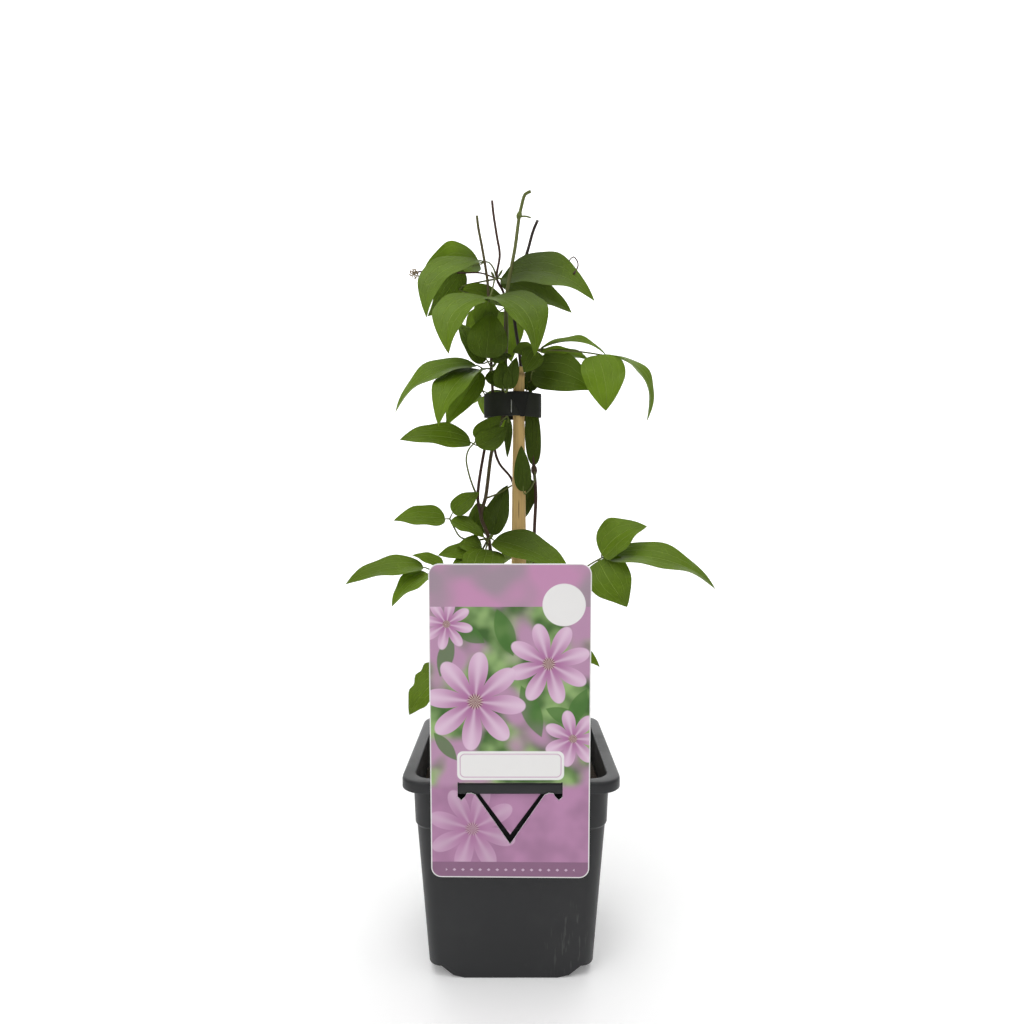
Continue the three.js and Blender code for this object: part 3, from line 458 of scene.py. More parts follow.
def smooth_route(points, count):
    """A centripetal Catmull-Rom line through the points, at evenly spaced places.

    Between two points it blends three straight lines, each weighted by how far along its own
    stretch the place lies; a stretch's length counts as the square root of its distance.
    """
    given = np.array(points, float)
    held = np.vstack([2 * given[0] - given[1], given, 2 * given[-1] - given[-2]])
    knots = np.concatenate([[0], np.cumsum(np.sqrt(np.linalg.norm(np.diff(held, axis=0), axis=1)))])
    span = np.arange(len(given) - 1)
    p0, p1, p2, p3 = (held[span + i][:, None, :] for i in range(4))
    t0, t1, t2, t3 = (knots[span + i][:, None, None] for i in range(4))
    t = t1 + np.linspace(0, 1, 25)[None, :, None] * (t2 - t1)
    a1 = (p0 * (t1 - t) + p1 * (t - t0)) / (t1 - t0)
    a2 = (p1 * (t2 - t) + p2 * (t - t1)) / (t2 - t1)
    a3 = (p2 * (t3 - t) + p3 * (t - t2)) / (t3 - t2)
    b1 = (a1 * (t2 - t) + a2 * (t - t0)) / (t2 - t0)
    b2 = (a2 * (t3 - t) + a3 * (t - t1)) / (t3 - t1)
    line = ((b1 * (t2 - t) + b2 * (t - t1)) / (t2 - t1)).reshape(-1, 3)
    travelled = np.concatenate([[0], np.cumsum(np.linalg.norm(np.diff(line, axis=0), axis=1))])
    even = np.linspace(0, travelled[-1], count)
    return np.stack([np.interp(even, travelled, line[:, axis]) for axis in range(3)], 1)


def tube(points, radius, taper=0.8, sides=10, ribs=0.0, step=2.0, age=(0.5, 0.3)):
    """A round shell along a smooth route: middle + r cos(a) side + r sin(a) over.

    r falls evenly from radius to taper times that, and ribs raise it by a share of cos(6a). Side
    is square to the route and to one fixed direction. The age runs evenly from its value at the
    foot to its value at the tip.
    """
    length = np.linalg.norm(np.diff(np.array(points, float), axis=0), axis=1).sum()
    count = max(6, int(length / step))
    middle = smooth_route(points, count)
    ahead = unit(np.gradient(middle, axis=0))
    turned = np.cross(ahead[:, None], FIXED_WAYS[None])
    clearest = np.linalg.norm(turned, axis=-1).min(0).argmax()
    side = unit(np.cross(ahead, FIXED_WAYS[clearest]))
    over = np.cross(ahead, side)
    angle = np.linspace(0, 2 * np.pi, sides, endpoint=False)
    share = np.linspace(0, 1, count)
    reach = radius * (1 + (taper - 1) * share)[:, None] * (1 + ribs * np.cos(6 * angle))[None]
    rings = middle[:, None] + reach[..., None] * (
        np.cos(angle)[None, :, None] * side[:, None] + np.sin(angle)[None, :, None] * over[:, None]
    )
    ages = np.broadcast_to(np.interp(share, (0, 1), age)[:, None], (count, sides))
    return skin(rings, {"age": ages})


def blade(base, tip, width, face, arch=0, bend=0, teeth=0, *, tone, thickness, rows=34, around=36):
    """One leaflet, a thin closed lens with a round foot and a drawn-out tip.

    Along u from 0 to 1 its half-width is width/2 times u^0.44 (1-u)^0.88 over that formula's
    peak, and teeth raise it in waves. Round the lens by the angle a, a point stands cos(a)
    half-widths across and sin(a) half-thicknesses up. The midrib bows by arch (up) and bend
    (across) times 4u(1-u) and its tip curls down. The halves rise from it by the fold angle, the
    margin ripples, the whole blade twists a little towards its tip, and the veins lie in grooves.
    """
    base, tip, face = (np.array(values, float) for values in (base, tip, face))
    length = np.linalg.norm(tip - base)
    along = (tip - base) / length
    up = unit(face - along * (face @ along))
    across = np.cross(up, along)
    u = ((1 - np.cos(np.linspace(0.02, 1, rows) * np.pi)) / 2)[:, None]
    angle = np.linspace(0, 2 * np.pi, around, endpoint=False)[None]
    half = width / 2 * u**0.44 * np.clip(1 - u, 1e-4, 1) ** 0.88 / BLADE_PEAK
    swell = np.sin(np.pi * u)
    half = half * (1 + teeth * np.cos(2 * np.pi * TOOTH_WAVES * u) * swell)
    v = np.cos(angle) + 0 * u
    reach = half * v
    crease = CREASE_ROUND * half
    rise = np.sqrt(reach**2 + crease**2) - crease
    ripple = RIPPLE_HEIGHT * width * np.sin(2 * np.pi * (RIPPLE_WAVES * u + tone))
    ripple = ripple * v**2 * np.sign(v) * swell
    groove = sum(
        -depth * np.exp(-(((np.abs(v) - spot) / GROOVE_WIDTH) ** 2)) for spot, depth in VEIN_GROOVES
    )
    lift = thickness / 2 * np.sin(angle) * np.ones_like(u) + groove * swell
    bow = 4 * u * (1 - u)
    curl = TIP_CURL * length * np.clip(u - CURL_START, 0, None) ** 2
    turn = BLADE_TWIST * (2 * tone - 1) * u**2
    flat = bend * bow + reach * math.cos(BLADE_FOLD)
    high = rise * math.sin(BLADE_FOLD) + ripple + lift
    points = (
        base
        + (length * u + 0 * v)[..., None] * along
        + (flat * np.cos(turn) - high * np.sin(turn))[..., None] * across
        + (arch * bow - curl + flat * np.sin(turn) + high * np.cos(turn))[..., None] * up
    )
    trace = np.stack([v, u + 0 * v, (np.sin(angle) < 0) + 0 * v], -1)
    size = np.stack([reach, length * u + 0 * v, tone + 0 * v], -1)
    return skin(points, {"trace": trace, "size": size})


def bud(foot, tip, radius, age):
    """An egg round the line from foot to tip: at the share s its reach is radius sin(pi s)^0.7."""
    share = np.linspace(0.02, 0.98, 18)[:, None]
    angle = np.linspace(0, 2 * np.pi, 16, endpoint=False)[None]
    along = unit(tip - foot)
    side = unit(np.cross(along, (0.3, 1, 0.1)))
    over = np.cross(along, side)
    reach = radius * np.sin(np.pi * share) ** 0.7 * (1 + 0.08 * np.cos(4 * angle))
    middle = foot + (tip - foot) * share
    across, high = reach * np.cos(angle), reach * np.sin(angle)
    rings = middle[:, None] + across[..., None] * side + high[..., None] * over
    return skin(rings, {"age": age + 0 * reach})


def square_ring(half, corner, corner_steps=10, side_steps=12):
    """A square's outline with round corners, anticlockwise: for each half (an array), x and y.

    Each corner is an arc about the point that lies the corner radius inside both sides, and the
    straight stretch to the next corner is cut into even steps.
    """
    half, corner = np.asarray(half, float)[:, None], np.asarray(corner, float)[:, None]
    turns = []
    for quarter in range(4):
        arc = (quarter + np.linspace(0, 1, corner_steps + 1)) * np.pi / 2
        middle = (quarter + 0.5) * np.pi / 2
        cx = np.sign(math.cos(middle)) * (half - corner)
        cy = np.sign(math.sin(middle)) * (half - corner)
        turns.append((cx + corner * np.cos(arc), cy + corner * np.sin(arc)))
    stretches = []
    for quarter in range(4):
        x, y = turns[quarter]
        next_x, next_y = turns[(quarter + 1) % 4]
        share = np.linspace(0, 1, side_steps + 1)[None, 1:-1]
        x_side = x[:, -1:] + (next_x[:, :1] - x[:, -1:]) * share
        y_side = y[:, -1:] + (next_y[:, :1] - y[:, -1:]) * share
        stretches += [(x, y), (x_side, y_side)]
    return tuple(np.concatenate(parts, 1) for parts in zip(*stretches))


def rounded_profile(corners, steps=3):
    """A closed profile with each corner (half, height, radius) cut by a short curve.

    The curve is the quadratic one from the radius before the corner to the radius after it.
    """
    given = np.array(corners, float)
    place, radius = given[:, :2], given[:, 2:]
    back, on = np.roll(place, 1, 0) - place, np.roll(place, -1, 0) - place
    start = place + unit(back) * np.minimum(radius, np.linalg.norm(back, axis=1, keepdims=True) / 2)
    end = place + unit(on) * np.minimum(radius, np.linalg.norm(on, axis=1, keepdims=True) / 2)
    t = np.linspace(0, 1, steps + 1)[None, :, None]
    curve = (1 - t) ** 2 * start[:, None] + 2 * t * (1 - t) * place[:, None] + t**2 * end[:, None]
    return curve.reshape(-1, 2)


def flat_plate(name, outline, holes, thickness):
    """A plate of an outline with holes, filled and extruded, as mesh points and faces."""
    curve = bpy.data.curves.new(name, "CURVE")
    curve.dimensions = "2D"
    curve.fill_mode = "BOTH"
    curve.extrude = thickness / 2
    for loop in [outline, *holes]:
        spline = curve.splines.new("POLY")
        spline.points.add(len(loop) - 1)
        places = np.column_stack([loop, np.zeros(len(loop)), np.ones(len(loop))])
        spline.points.foreach_set("co", places.ravel())
        spline.use_cyclic_u = True
    holder = bpy.data.objects.new(name, curve)
    bpy.context.scene.collection.objects.link(holder)
    bpy.context.view_layer.update()
    depsgraph = bpy.context.evaluated_depsgraph_get()
    flat = bpy.data.meshes.new_from_object(holder.evaluated_get(depsgraph))
    points = np.zeros(len(flat.vertices) * 3)
    flat.vertices.foreach_get("co", points)
    faces = [list(face.vertices) for face in flat.polygons]
    bpy.data.objects.remove(holder)
    bpy.data.curves.remove(curve)
    bpy.data.meshes.remove(flat)
    return points.reshape(-1, 3), faces


def circle(x, y, radius, steps=32):
    """Points round a circle."""
    angle = np.linspace(0, 2 * np.pi, steps, endpoint=False)
    return np.column_stack([x + radius * np.cos(angle), y + radius * np.sin(angle)])


# ---------------------------------------------------------------- materials


class Value:
    """What a material works out at each place; arithmetic with it adds math nodes."""

    def __init__(self, made, socket):
        self.made = made
        self.socket = socket

    def __add__(self, other):
        return self.made.math("ADD", self, other)

    def __sub__(self, other):
        return self.made.math("SUBTRACT", self, other)

    def __rsub__(self, other):
        return self.made.math("SUBTRACT", other, self)

    def __mul__(self, other):
        return self.made.math("MULTIPLY", self, other)

    def __abs__(self):
        return self.made.math("ABSOLUTE", self)


class Finish:
    """A material's node tree, with short ways to add what the finishes are made of."""

    def __init__(self, name, roughness, **sockets):
        self.material = bpy.data.materials.new(name)
        self.material.use_nodes = True
        self.nodes = self.material.node_tree.nodes
        self.links = self.material.node_tree.links
        self.shader = next(node for node in self.nodes if node.type == "BSDF_PRINCIPLED")
        self.shader.inputs["Roughness"].default_value = roughness
        for socket, value in sockets.items():
            self.shader.inputs[socket.replace("_", " ")].default_value = value

    def add(self, kind, values, output=0, **settings):
        """A node's output; its inputs are numbers, colours or other nodes' values."""
        node = self.nodes.new(kind)
        for setting, value in settings.items():
            setattr(node, setting, value)
        for socket, value in values.items():
            if isinstance(value, Value):
                self.links.new(value.socket, node.inputs[socket])
            else:
                node.inputs[socket].default_value = value
        return Value(self, node.outputs[output])

    def trait(self, name, output="Vector"):
        """A mesh attribute; the output Fac gives one that is a plain number."""
        return self.add("ShaderNodeAttribute", {}, output, attribute_name=name)

    def place(self):
        """Object coordinates: places in the frame, in metres."""
        return self.add("ShaderNodeTexCoord", {}, "Object")

    def split(self, vector):
        """A vector's three parts."""
        parts = self.add("ShaderNodeSeparateXYZ", {0: vector}).socket.node.outputs
        return [Value(self, part) for part in parts]

    def math(self, operation, a, b=0.0, clamp=False):
        """The result of one of Blender's math operations."""
        return self.add("ShaderNodeMath", {0: a, 1: b}, operation=operation, use_clamp=clamp)

    def length(self, a, b):
        """The square root of a^2 + b^2."""
        return self.math("SQRT", a * a + b * b)

    def noise(self, vector, scale, detail=3.0):
        return self.add("ShaderNodeTexNoise", {"Vector": vector, "Scale": scale, "Detail": detail})

    def stretch(self, vector, scales):
        """The vector with each part times its own scale."""
        return self.add("ShaderNodeMapping", {"Vector": vector, "Scale": scales})

    def grain(self, vector, scales, detail):
        """Noise with a scale of its own along each axis."""
        return self.noise(self.stretch(vector, scales), 1.0, detail)

    def step(self, value, low, high):
        """0 below low, 1 above high, smooth between."""
        values = {"Value": value, "From Min": low, "From Max": high}
        return self.add("ShaderNodeMapRange", values, interpolation_type="SMOOTHSTEP")

    def mix(self, factor, a, b):
        """Colour a where the factor is 0, colour b where it is 1."""
        a, b = ((*colour, 1.0) if isinstance(colour, tuple) else colour for colour in (a, b))
        return self.add("ShaderNodeMix", {0: factor, 6: a, 7: b}, 2, data_type="RGBA")

    def plug(self, value, name):
        """Gives the value to the shader's input of that name."""
        self.links.new(value.socket, self.shader.inputs[name])

    def colour(self, value):
        self.plug(value, "Base Color")

    def roughen(self, factor, low, high):
        values = {"Value": factor, "To Min": low, "To Max": high}
        self.plug(self.add("ShaderNodeMapRange", values), "Roughness")

    def bump(self, height, depth, strength=1.0):
        """Relief from a height between 0 and 1; depth is in millimetres."""
        values = {"Height": height, "Distance": depth * MM, "Strength": strength}
        self.plug(self.add("ShaderNodeBump", values), "Normal")


def rgb(colour, strength=1.0):
    """A property's colour as a plain tuple, darkened or brightened."""
    return tuple(strength * part for part in colour)


def pot_finish(colour):
    """Moulded plastic: fine grain, dusty patches, pale rubbed streaks low on the front.

    Inside, shallow ribs a few millimetres apart run up the wall: their height is the sum of a
    wave along x and one along y, of which each wall shows one.
    """
    made = Finish("pot_plastic", 0.5, Specular_IOR_Level=0.3)
    place = made.place()
    x, y, z = made.split(place)
    dust = made.step(made.noise(place, 22.0, 6.0), 0.52, 0.8)
    scratch = made.step(made.grain(place, (700.0, 700.0, 70.0), 2.0), 0.58, 0.7)
    off_x = (x - (CENTRE[0] + SCUFF[0] * MM)) * (1 / (SCUFF_SPREAD[0] * MM))
    off_z = (z - SCUFF[1] * MM) * (1 / (SCUFF_SPREAD[1] * MM))
    rubbed = 1 - made.step(off_x * off_x + off_z * off_z, 0.3, 1.3)
    patches = made.step(made.noise(place, 9.0), 0.58, 0.7)
    worn = scratch * made.math("MAXIMUM", rubbed, patches)
    base = made.mix(dust * 0.3, rgb(colour), (0.06, 0.06, 0.058))
    made.colour(made.mix(worn * 0.25, base, (0.12, 0.12, 0.115)))
    made.roughen(dust, 0.42, 0.62)
    pitch = 2 * math.pi / (RIB_PITCH * MM)
    ribs = made.math("SINE", x * pitch) + made.math("SINE", y * pitch)
    inner = made.trait("inner", "Fac") * made.step(ribs, 0.2, 1.2)
    made.bump(made.noise(place, 2600.0, 2.0) * 0.12 + inner, 0.35, 0.6)
    return made.material


def soil_finish(colour):
    """Peat: dark clods, paler fibres, never shiny."""
    made = Finish("soil_peat", 0.95)
    place = made.place()
    clods = made.noise(place, 320.0, 8.0)
    fibre = made.step(made.grain(place, (300.0, 1400.0, 600.0), 3.0), 0.6, 0.72)
    dark = made.mix(clods, rgb(colour, 0.4), rgb(colour, 1.7))
    made.colour(made.mix(fibre * 0.5, dark, (0.13, 0.085, 0.05)))
    made.bump(clods, 1.2)
    return made.material


def cane_finish(colour):
    """Dry bamboo: fine lengthwise grain, grey-brown streaks, dark bands at the rings, one crack."""
    made = Finish("cane_bamboo", 0.55, Specular_IOR_Level=0.3)
    place = made.place()
    x, y, z = made.split(place)
    grain = made.grain(place, (1500.0, 1500.0, 28.0), 4.0)
    streak = made.step(made.grain(place, (260.0, 260.0, 9.0), 3.0), 0.5, 0.75)
    base = made.mix(grain, rgb(colour, 0.72), rgb(colour, 1.25))
    base = made.mix(streak * 0.5, base, (0.17, 0.115, 0.065))
    off_x = abs(x - (CENTRE[0] + CANE_CRACK[0] * MM))
    off_z = abs(z - CANE_CRACK[1] * MM)
    thin = 1 - made.step(off_x, 0.1 * MM, 0.45 * MM)
    short = 1 - made.step(off_z, 3 * MM, 8 * MM)
    crack = thin * short * made.math("LESS_THAN", y, CENTRE[1])
    base = made.mix(made.trait("ring", "Fac") * 0.7, base, (0.1, 0.062, 0.03))
    made.colour(made.mix(crack * 0.8, base, (0.06, 0.035, 0.018)))
    made.roughen(grain, 0.42, 0.62)
    made.bump(grain - crack, 0.12)
    return made.material


def tie_finish(colour):
    """Flat black band with a lengthwise extrusion grain."""
    made = Finish("tie_band", 0.55, Specular_IOR_Level=0.25)
    grain = made.grain(made.place(), (40.0, 40.0, 2400.0), 2.0)
    made.colour(made.mix(grain, rgb(colour), rgb(colour, 2.2)))
    made.roughen(grain, 0.42, 0.65)
    made.bump(grain, 0.05)
    return made.material


def pin_finish():
    """Thin drawn wire, a little dull."""
    made = Finish("pin_wire", 0.35, Metallic=1.0)
    tarnish = made.noise(made.place(), 900.0)
    made.colour(made.mix(tarnish, (0.42, 0.42, 0.41), (0.6, 0.6, 0.59)))
    return made.material


def stem_finish(green, brown):
    """Ribbed stems: green where young, purple-brown where old, almost black on dead wood."""
    made = Finish("stem_bark", 0.6, Specular_IOR_Level=0.25)
    place = made.place()
    mottle = made.grain(place, (700.0, 700.0, 90.0), 4.0)
    years = made.trait("age", "Fac")
    age = made.math("ADD", years, mottle * 0.3, clamp=True)
    base = made.mix(made.step(age, 0.35, 0.95), rgb(green), rgb(brown))
    fleck = made.step(made.noise(place, 1500.0, 2.0), 0.64, 0.74)
    base = made.mix(fleck * 0.3, base, (0.2, 0.15, 0.1))
    dead = made.step(years, 0.97, 1.2)
    made.colour(made.mix(dead * 0.8, base, (0.02, 0.017, 0.014)))
    made.bump(mottle, 0.15)
    return made.material


def dry_finish():
    """Dead, papery plant matter."""
    made = Finish("dried_tip", 0.85)
    wrinkle = made.noise(made.place(), 900.0, 5.0)
    made.colour(made.mix(wrinkle, (0.14, 0.095, 0.055), (0.42, 0.34, 0.23)))
    made.bump(wrinkle, 0.4)
    return made.material


# A leaf's veins: place and width as shares of the half-width, strength, how far they sway.
LEAF_VEINS = ((0.0, 0.035, 1.0, 0.0), (0.42, 0.028, 0.75, 0.22), (0.74, 0.022, 0.4, 0.3))


def leaf_finish(top, under):
    """Living leaf: satin green above, yellower and duller below, with fine pale veins.

    The midrib and two pairs of main veins run from base to tip, at shares of the width that sway
    a little, and the side ones fade towards the tip. A net of cells lies between them. Each
    leaflet has its own tone, and its margin is dry here and there. Near the cane the colour is
    darkened with painted shade, where the plant shades itself.
    """
    made = Finish("leaf", 0.48, Specular_IOR_Level=0.14)
    v, u, below = made.split(made.trait("trace"))
    across, along, tone = made.split(made.trait("size"))
    flat = made.add("ShaderNodeCombineXYZ", {0: across, 1: along, 2: tone * 40.0})
    sway = made.noise(flat, 0.1, 2.0) - 0.5
    side = abs(v)
    veins = 0.0
    for spot, width, strength, bendy in LEAF_VEINS:
        away = abs(sway * bendy + (side - spot))
        fade = 1 - made.step(u, 0.5, 0.92) * (bendy * 3)
        vein = (1 - made.step(away, 0.0, width)) * strength * fade
        veins = made.math("MAXIMUM", vein, veins)
    drawn = made.stretch(flat, (1.0, 0.62, 1.0))
    cells = {"Vector": drawn, "Scale": 0.2, "Randomness": 0.95}
    cell_edge = made.add("ShaderNodeTexVoronoi", cells, feature="DISTANCE_TO_EDGE")
    net = 1 - made.step(cell_edge, 0.0, 0.045)
    patch = made.noise(flat, 0.07, 3.0)
    shade = made.math("ADD", patch * 0.7, tone * 0.4, clamp=True)
    upper = made.mix(shade, rgb(top, 0.6), rgb(top, 1.35))
    lower = made.mix(shade, rgb(under, 0.7), rgb(under, 1.2))
    base = made.mix(below, upper, lower)
    base = made.mix(net * 0.24, base, (0.2, 0.3, 0.03))
    base = made.mix(veins * 0.62, base, (0.3, 0.42, 0.08))
    margin = made.math("MAXIMUM", made.step(side, 0.965, 1.0), made.step(u, 0.94, 1.0))
    dry = margin * made.step(patch, 0.52, 0.7)
    base = made.mix(dry * 0.6, base, (0.12, 0.075, 0.03))
    # Painted shade: leaves are darker inside the plant, near the cane, where the plant shades
    # itself.
    x, y, _ = made.split(made.place())
    off_x, off_y = (
        value - (middle + at * MM) for value, middle, at in zip((x, y), CENTRE, CANE_PLACE)
    )
    painted_shade = 1 - made.step(made.length(off_x, off_y), *PAINTED_SHADE_REACH)
    made.colour(made.mix(painted_shade * 0.75, base, rgb(top, 0.16)))
    made.roughen(below, 0.46, 0.65)
    made.bump(net * -0.35 - veins, 0.3)
    return made.material


def blossom(made, x, y, centre, radius, petals, turn):
    """A printed blossom: its mask and colour.

    The petals end where the distance from the centre passes radius times
    0.32 + 0.68 |cos(n a/2)|^0.7, n being their number and a the angle; each has a paler line
    down its middle.
    """
    dx, dy = x - centre[0], y - centre[1]
    away = made.length(dx, dy)
    angle = made.math("ARCTAN2", dy, dx) + turn
    lobe = abs(made.math("COSINE", angle * (petals / 2)))
    edge = made.math("POWER", lobe, 0.7) * (0.68 * radius) + 0.32 * radius
    mask = made.step(edge - away, -0.5, 0.5)
    depth = made.step(away, 0.1 * radius, 0.9 * radius)
    petal = made.mix(depth, (0.4, 0.15, 0.33), (0.66, 0.42, 0.6))
    petal = made.mix(made.math("POWER", lobe, 9.0) * 0.55, petal, (0.8, 0.64, 0.76))
    heart = 1 - made.step(away, 0.1 * radius, 0.19 * radius)
    speck = made.step(made.math("COSINE", angle * 17.0), -0.2, 0.5)
    core = made.mix(speck, (0.16, 0.02, 0.06), (0.6, 0.5, 0.42))
    return mask, made.mix(heart, petal, core)


# The print, in millimetres from the middle of the rim's line on the card. Its blossoms: centre,
# radius, petals, turn.
BLOSSOMS = (
    ((36, 30), 17, 7, 0.9),
    ((-36, 97), 15, 8, 0.2),
    ((22, 74), 24, 8, 0.5),
    ((-20, 52), 29, 8, 0.1),
)
LOW_BLOSSOM = ((-22, -24), 26, 8, 0.3)
# The print's leaves: foot, length, half-width, turn.
SPRIG_LEAVES = (
    ((6, 62), 34, 6, -1.2), ((2, 78), 30, 6, 1.9), ((44, 60), 26, 5, -2.0), ((-14, 86), 22, 5, 2.6),
    ((-40, 66), 26, 5, 1.3), ((20, 48), 24, 5, -0.4), ((-44, 34), 22, 4, -0.9),
)
HEADER_LINE, FOOTER_LINE = 107.0, -44.0
# Its white places and the panel's trim, outer and inner edge: middle, halves, corner.
PANEL = ((0.3, 14.0), (30.8, 8.6), 3.5)
PANEL_TRIM = (((0.3, 14.0), (29.3, 7.1), 3.0), ((0.3, 14.0), (28.8, 6.6), 2.5))
DISC = ((30.5, 108.0), (12.2, 12.2), 12.2)
PRINT_MARGIN = 0.6


def rounded_box(made, x, y, centre, halves, corner):
    """1 inside a rectangle with round corners, 0 outside: its distance formula, softened."""
    outs = [
        made.math("MAXIMUM", abs(value - middle) - (half - corner), 0.0)
        for value, middle, half in zip((x, y), centre, halves)
    ]
    return 1 - made.step(made.length(*outs), corner - 0.25, corner + 0.25)


def sprig_leaf(made, x, y, foot, reach, width, turn):
    """1 inside a printed leaf: within width (1 - (2s - 1)^2), s being the share of its length."""
    dx, dy = x - foot[0], y - foot[1]
    share = dx * (math.cos(turn) / reach) + dy * (math.sin(turn) / reach)
    off = dy * (math.cos(turn) / width) - dx * (math.sin(turn) / width)
    centred = share * 2.0 - 1.0
    return made.step(1 - centred * centred - abs(off), 0.0, 0.16)


def print_finish(mauve):
    """The card's printed side: mauve bands, a blurred garden with blossoms, bare white places."""
    made = Finish("label_print", 0.4, Specular_IOR_Level=0.3)
    spot = made.trait("print")
    x, y, _ = made.split(spot)
    blur = made.step(made.noise(spot, 0.05, 2.0), 0.36, 0.66)
    garden = made.mix(blur, (0.045, 0.12, 0.02), (0.3, 0.46, 0.17))
    haze = made.step(made.noise(spot, 0.032, 1.0), 0.46, 0.6)
    base = made.mix(haze, garden, (0.48, 0.27, 0.42))
    for leaf in SPRIG_LEAVES:
        base = made.mix(sprig_leaf(made, x, y, *leaf) * 0.8, base, (0.06, 0.17, 0.025))
    for flower in BLOSSOMS:
        mask, petal = blossom(made, x, y, *flower)
        base = made.mix(mask, base, petal)

    soft = made.step(made.noise(spot, 0.045, 2.0), 0.3, 0.7)
    below = 1 - made.step(y, -1.0, 5.0)
    base = made.mix(below, base, made.mix(soft, rgb(mauve), rgb(mauve, 1.35)))
    mask, petal = blossom(made, x, y, *LOW_BLOSSOM)
    base = made.mix(mask * below * 0.5, base, petal)
    cloud = made.step(made.noise(spot, 0.03, 1.0), 0.42, 0.6)
    header = made.mix(cloud, (0.55, 0.27, 0.45), (0.36, 0.27, 0.33))
    base = made.mix(made.step(y, HEADER_LINE - 0.2, HEADER_LINE + 0.2), base, header)
    footer = 1 - made.step(y, FOOTER_LINE - 0.2, FOOTER_LINE + 0.2)
    base = made.mix(footer, base, rgb(mauve, 0.72))

    # A row of pale lozenges in the footer: |x| / a + |y| / b stays under 1 in each.
    across = made.math("FRACT", x * 0.2) * 2.0 - 1.0
    off = (y - (FOOTER_LINE - LABEL_BELOW) / 2) * 0.5
    lozenge = 1 - made.step(abs(across) + abs(off), 0.34, 0.5)
    inside = made.math("LESS_THAN", abs(x), 37.5)
    base = made.mix(lozenge * inside * 0.75, base, (0.72, 0.55, 0.7))

    middle, half = (LABEL_ABOVE - LABEL_BELOW) / 2, (LABEL_ABOVE + LABEL_BELOW) / 2
    halves = (LABEL_HALF - PRINT_MARGIN, half - PRINT_MARGIN)
    inked = rounded_box(made, x, y, (0, middle), halves, LABEL_CORNER - PRINT_MARGIN)
    white = 1 - inked
    for bare in (PANEL, DISC):
        white = made.math("MAXIMUM", rounded_box(made, x, y, *bare), white)
    base = made.mix(white, base, (0.84, 0.83, 0.82))
    outer, inner = (rounded_box(made, x, y, *edge) for edge in PANEL_TRIM)
    made.colour(made.mix((outer - inner) * 0.7, base, (0.5, 0.2, 0.42)))
    made.roughen(made.noise(made.place(), 60.0), 0.3, 0.42)
    made.bump(made.noise(made.place(), 1800.0, 1.0), 0.01)
    return made.material


def card_finish():
    """The card's bare white back and cut edges."""
    made = Finish("label_card", 0.4)
    made.colour(made.mix(made.noise(made.place(), 140.0), (0.7, 0.7, 0.69), (0.8, 0.8, 0.79)))
    made.bump(made.noise(made.place(), 1500.0, 1.0), 0.02)
    return made.material


# ---------------------------------------------------------------- settings


def colour_property(name, description, default):
    """A colour that the sidebar shows."""
    return bpy.props.FloatVectorProperty(
        name=name, description=description, default=default, min=0.0, max=1.0,
        subtype="COLOR", size=3,
    )


def length_property(name, description, default, low, high):
    """A length that the sidebar shows: given here in millimetres, held in metres."""
    return bpy.props.FloatProperty(
        name=name, description=description, default=default * MM, min=low * MM, max=high * MM,
        subtype="DISTANCE", unit="LENGTH",
    )


class ClimberPotSettings(bpy.types.PropertyGroup):
    """The nursery pot and its mix."""

    wall: length_property("Wall", "Thickness of the pot's wall", 1.4, 0.5, 3)
    lump: length_property("Lumps", "Height of the mix's lumps", 1.4, 0, 4)
    crumbs: bpy.props.IntProperty(
        name="Crumbs", description="Loose crumbs on the mix", default=420, min=0, max=900
    )
    plastic: colour_property("Plastic", "Colour of the pot", (0.02, 0.0205, 0.022))
    mix: colour_property("Mix", "Colour of the potting mix", (0.035, 0.022, 0.015))


class ClimberSupportSettings(bpy.types.PropertyGroup):
    """The cane and the tie."""

    bamboo: colour_property("Bamboo", "Colour of the cane", (0.55, 0.37, 0.14))
    band: colour_property("Band", "Colour of the tie", (0.009, 0.01, 0.007))
    ring_swell: length_property("Ring swell", "How far a ring stands out of the cane", 0.45, 0, 1)


class ClimberLabelSettings(bpy.types.PropertyGroup):
    """The hang label."""

    thickness: length_property("Card", "Thickness of the card", 0.8, 0.3, 1.5)
    warp: length_property("Warp", "How far the lower right corner lifts", 1.2, 0, 3)
    mauve: colour_property("Mauve", "Colour of the plain bands", (0.36, 0.18, 0.31))


class ClimberPlantSettings(bpy.types.PropertyGroup):
    """The stems and leaves."""

    blade_thickness: length_property("Leaf", "Thickness at a leaflet's midrib", 0.45, 0.2, 1)
    leaf_top: colour_property("Leaf top", "Colour of the upper sides", (0.112, 0.185, 0.009))
    leaf_under: colour_property("Leaf underside", "Colour of the undersides", (0.16, 0.26, 0.014))
    young: colour_property("Young stem", "Colour of young stems", (0.12, 0.15, 0.035))
    woody: colour_property("Old stem", "Colour of old stems", (0.06, 0.03, 0.022))
    seed: bpy.props.IntProperty(
        name="Seed", description="Seed of the leaves' tones", default=11, min=0
    )


class ClimberStageSettings(bpy.types.PropertyGroup):
    """The floor, the light and the camera."""

    lens: bpy.props.FloatProperty(
        name="Lens", description="Focal length on a 36 mm sensor", default=24.61, min=10, max=200,
        unit="CAMERA",
    )
    floor: colour_property("Floor", "Colour of the floor and backdrop", (0.93, 0.93, 0.93))


# ---------------------------------------------------------------- pieces


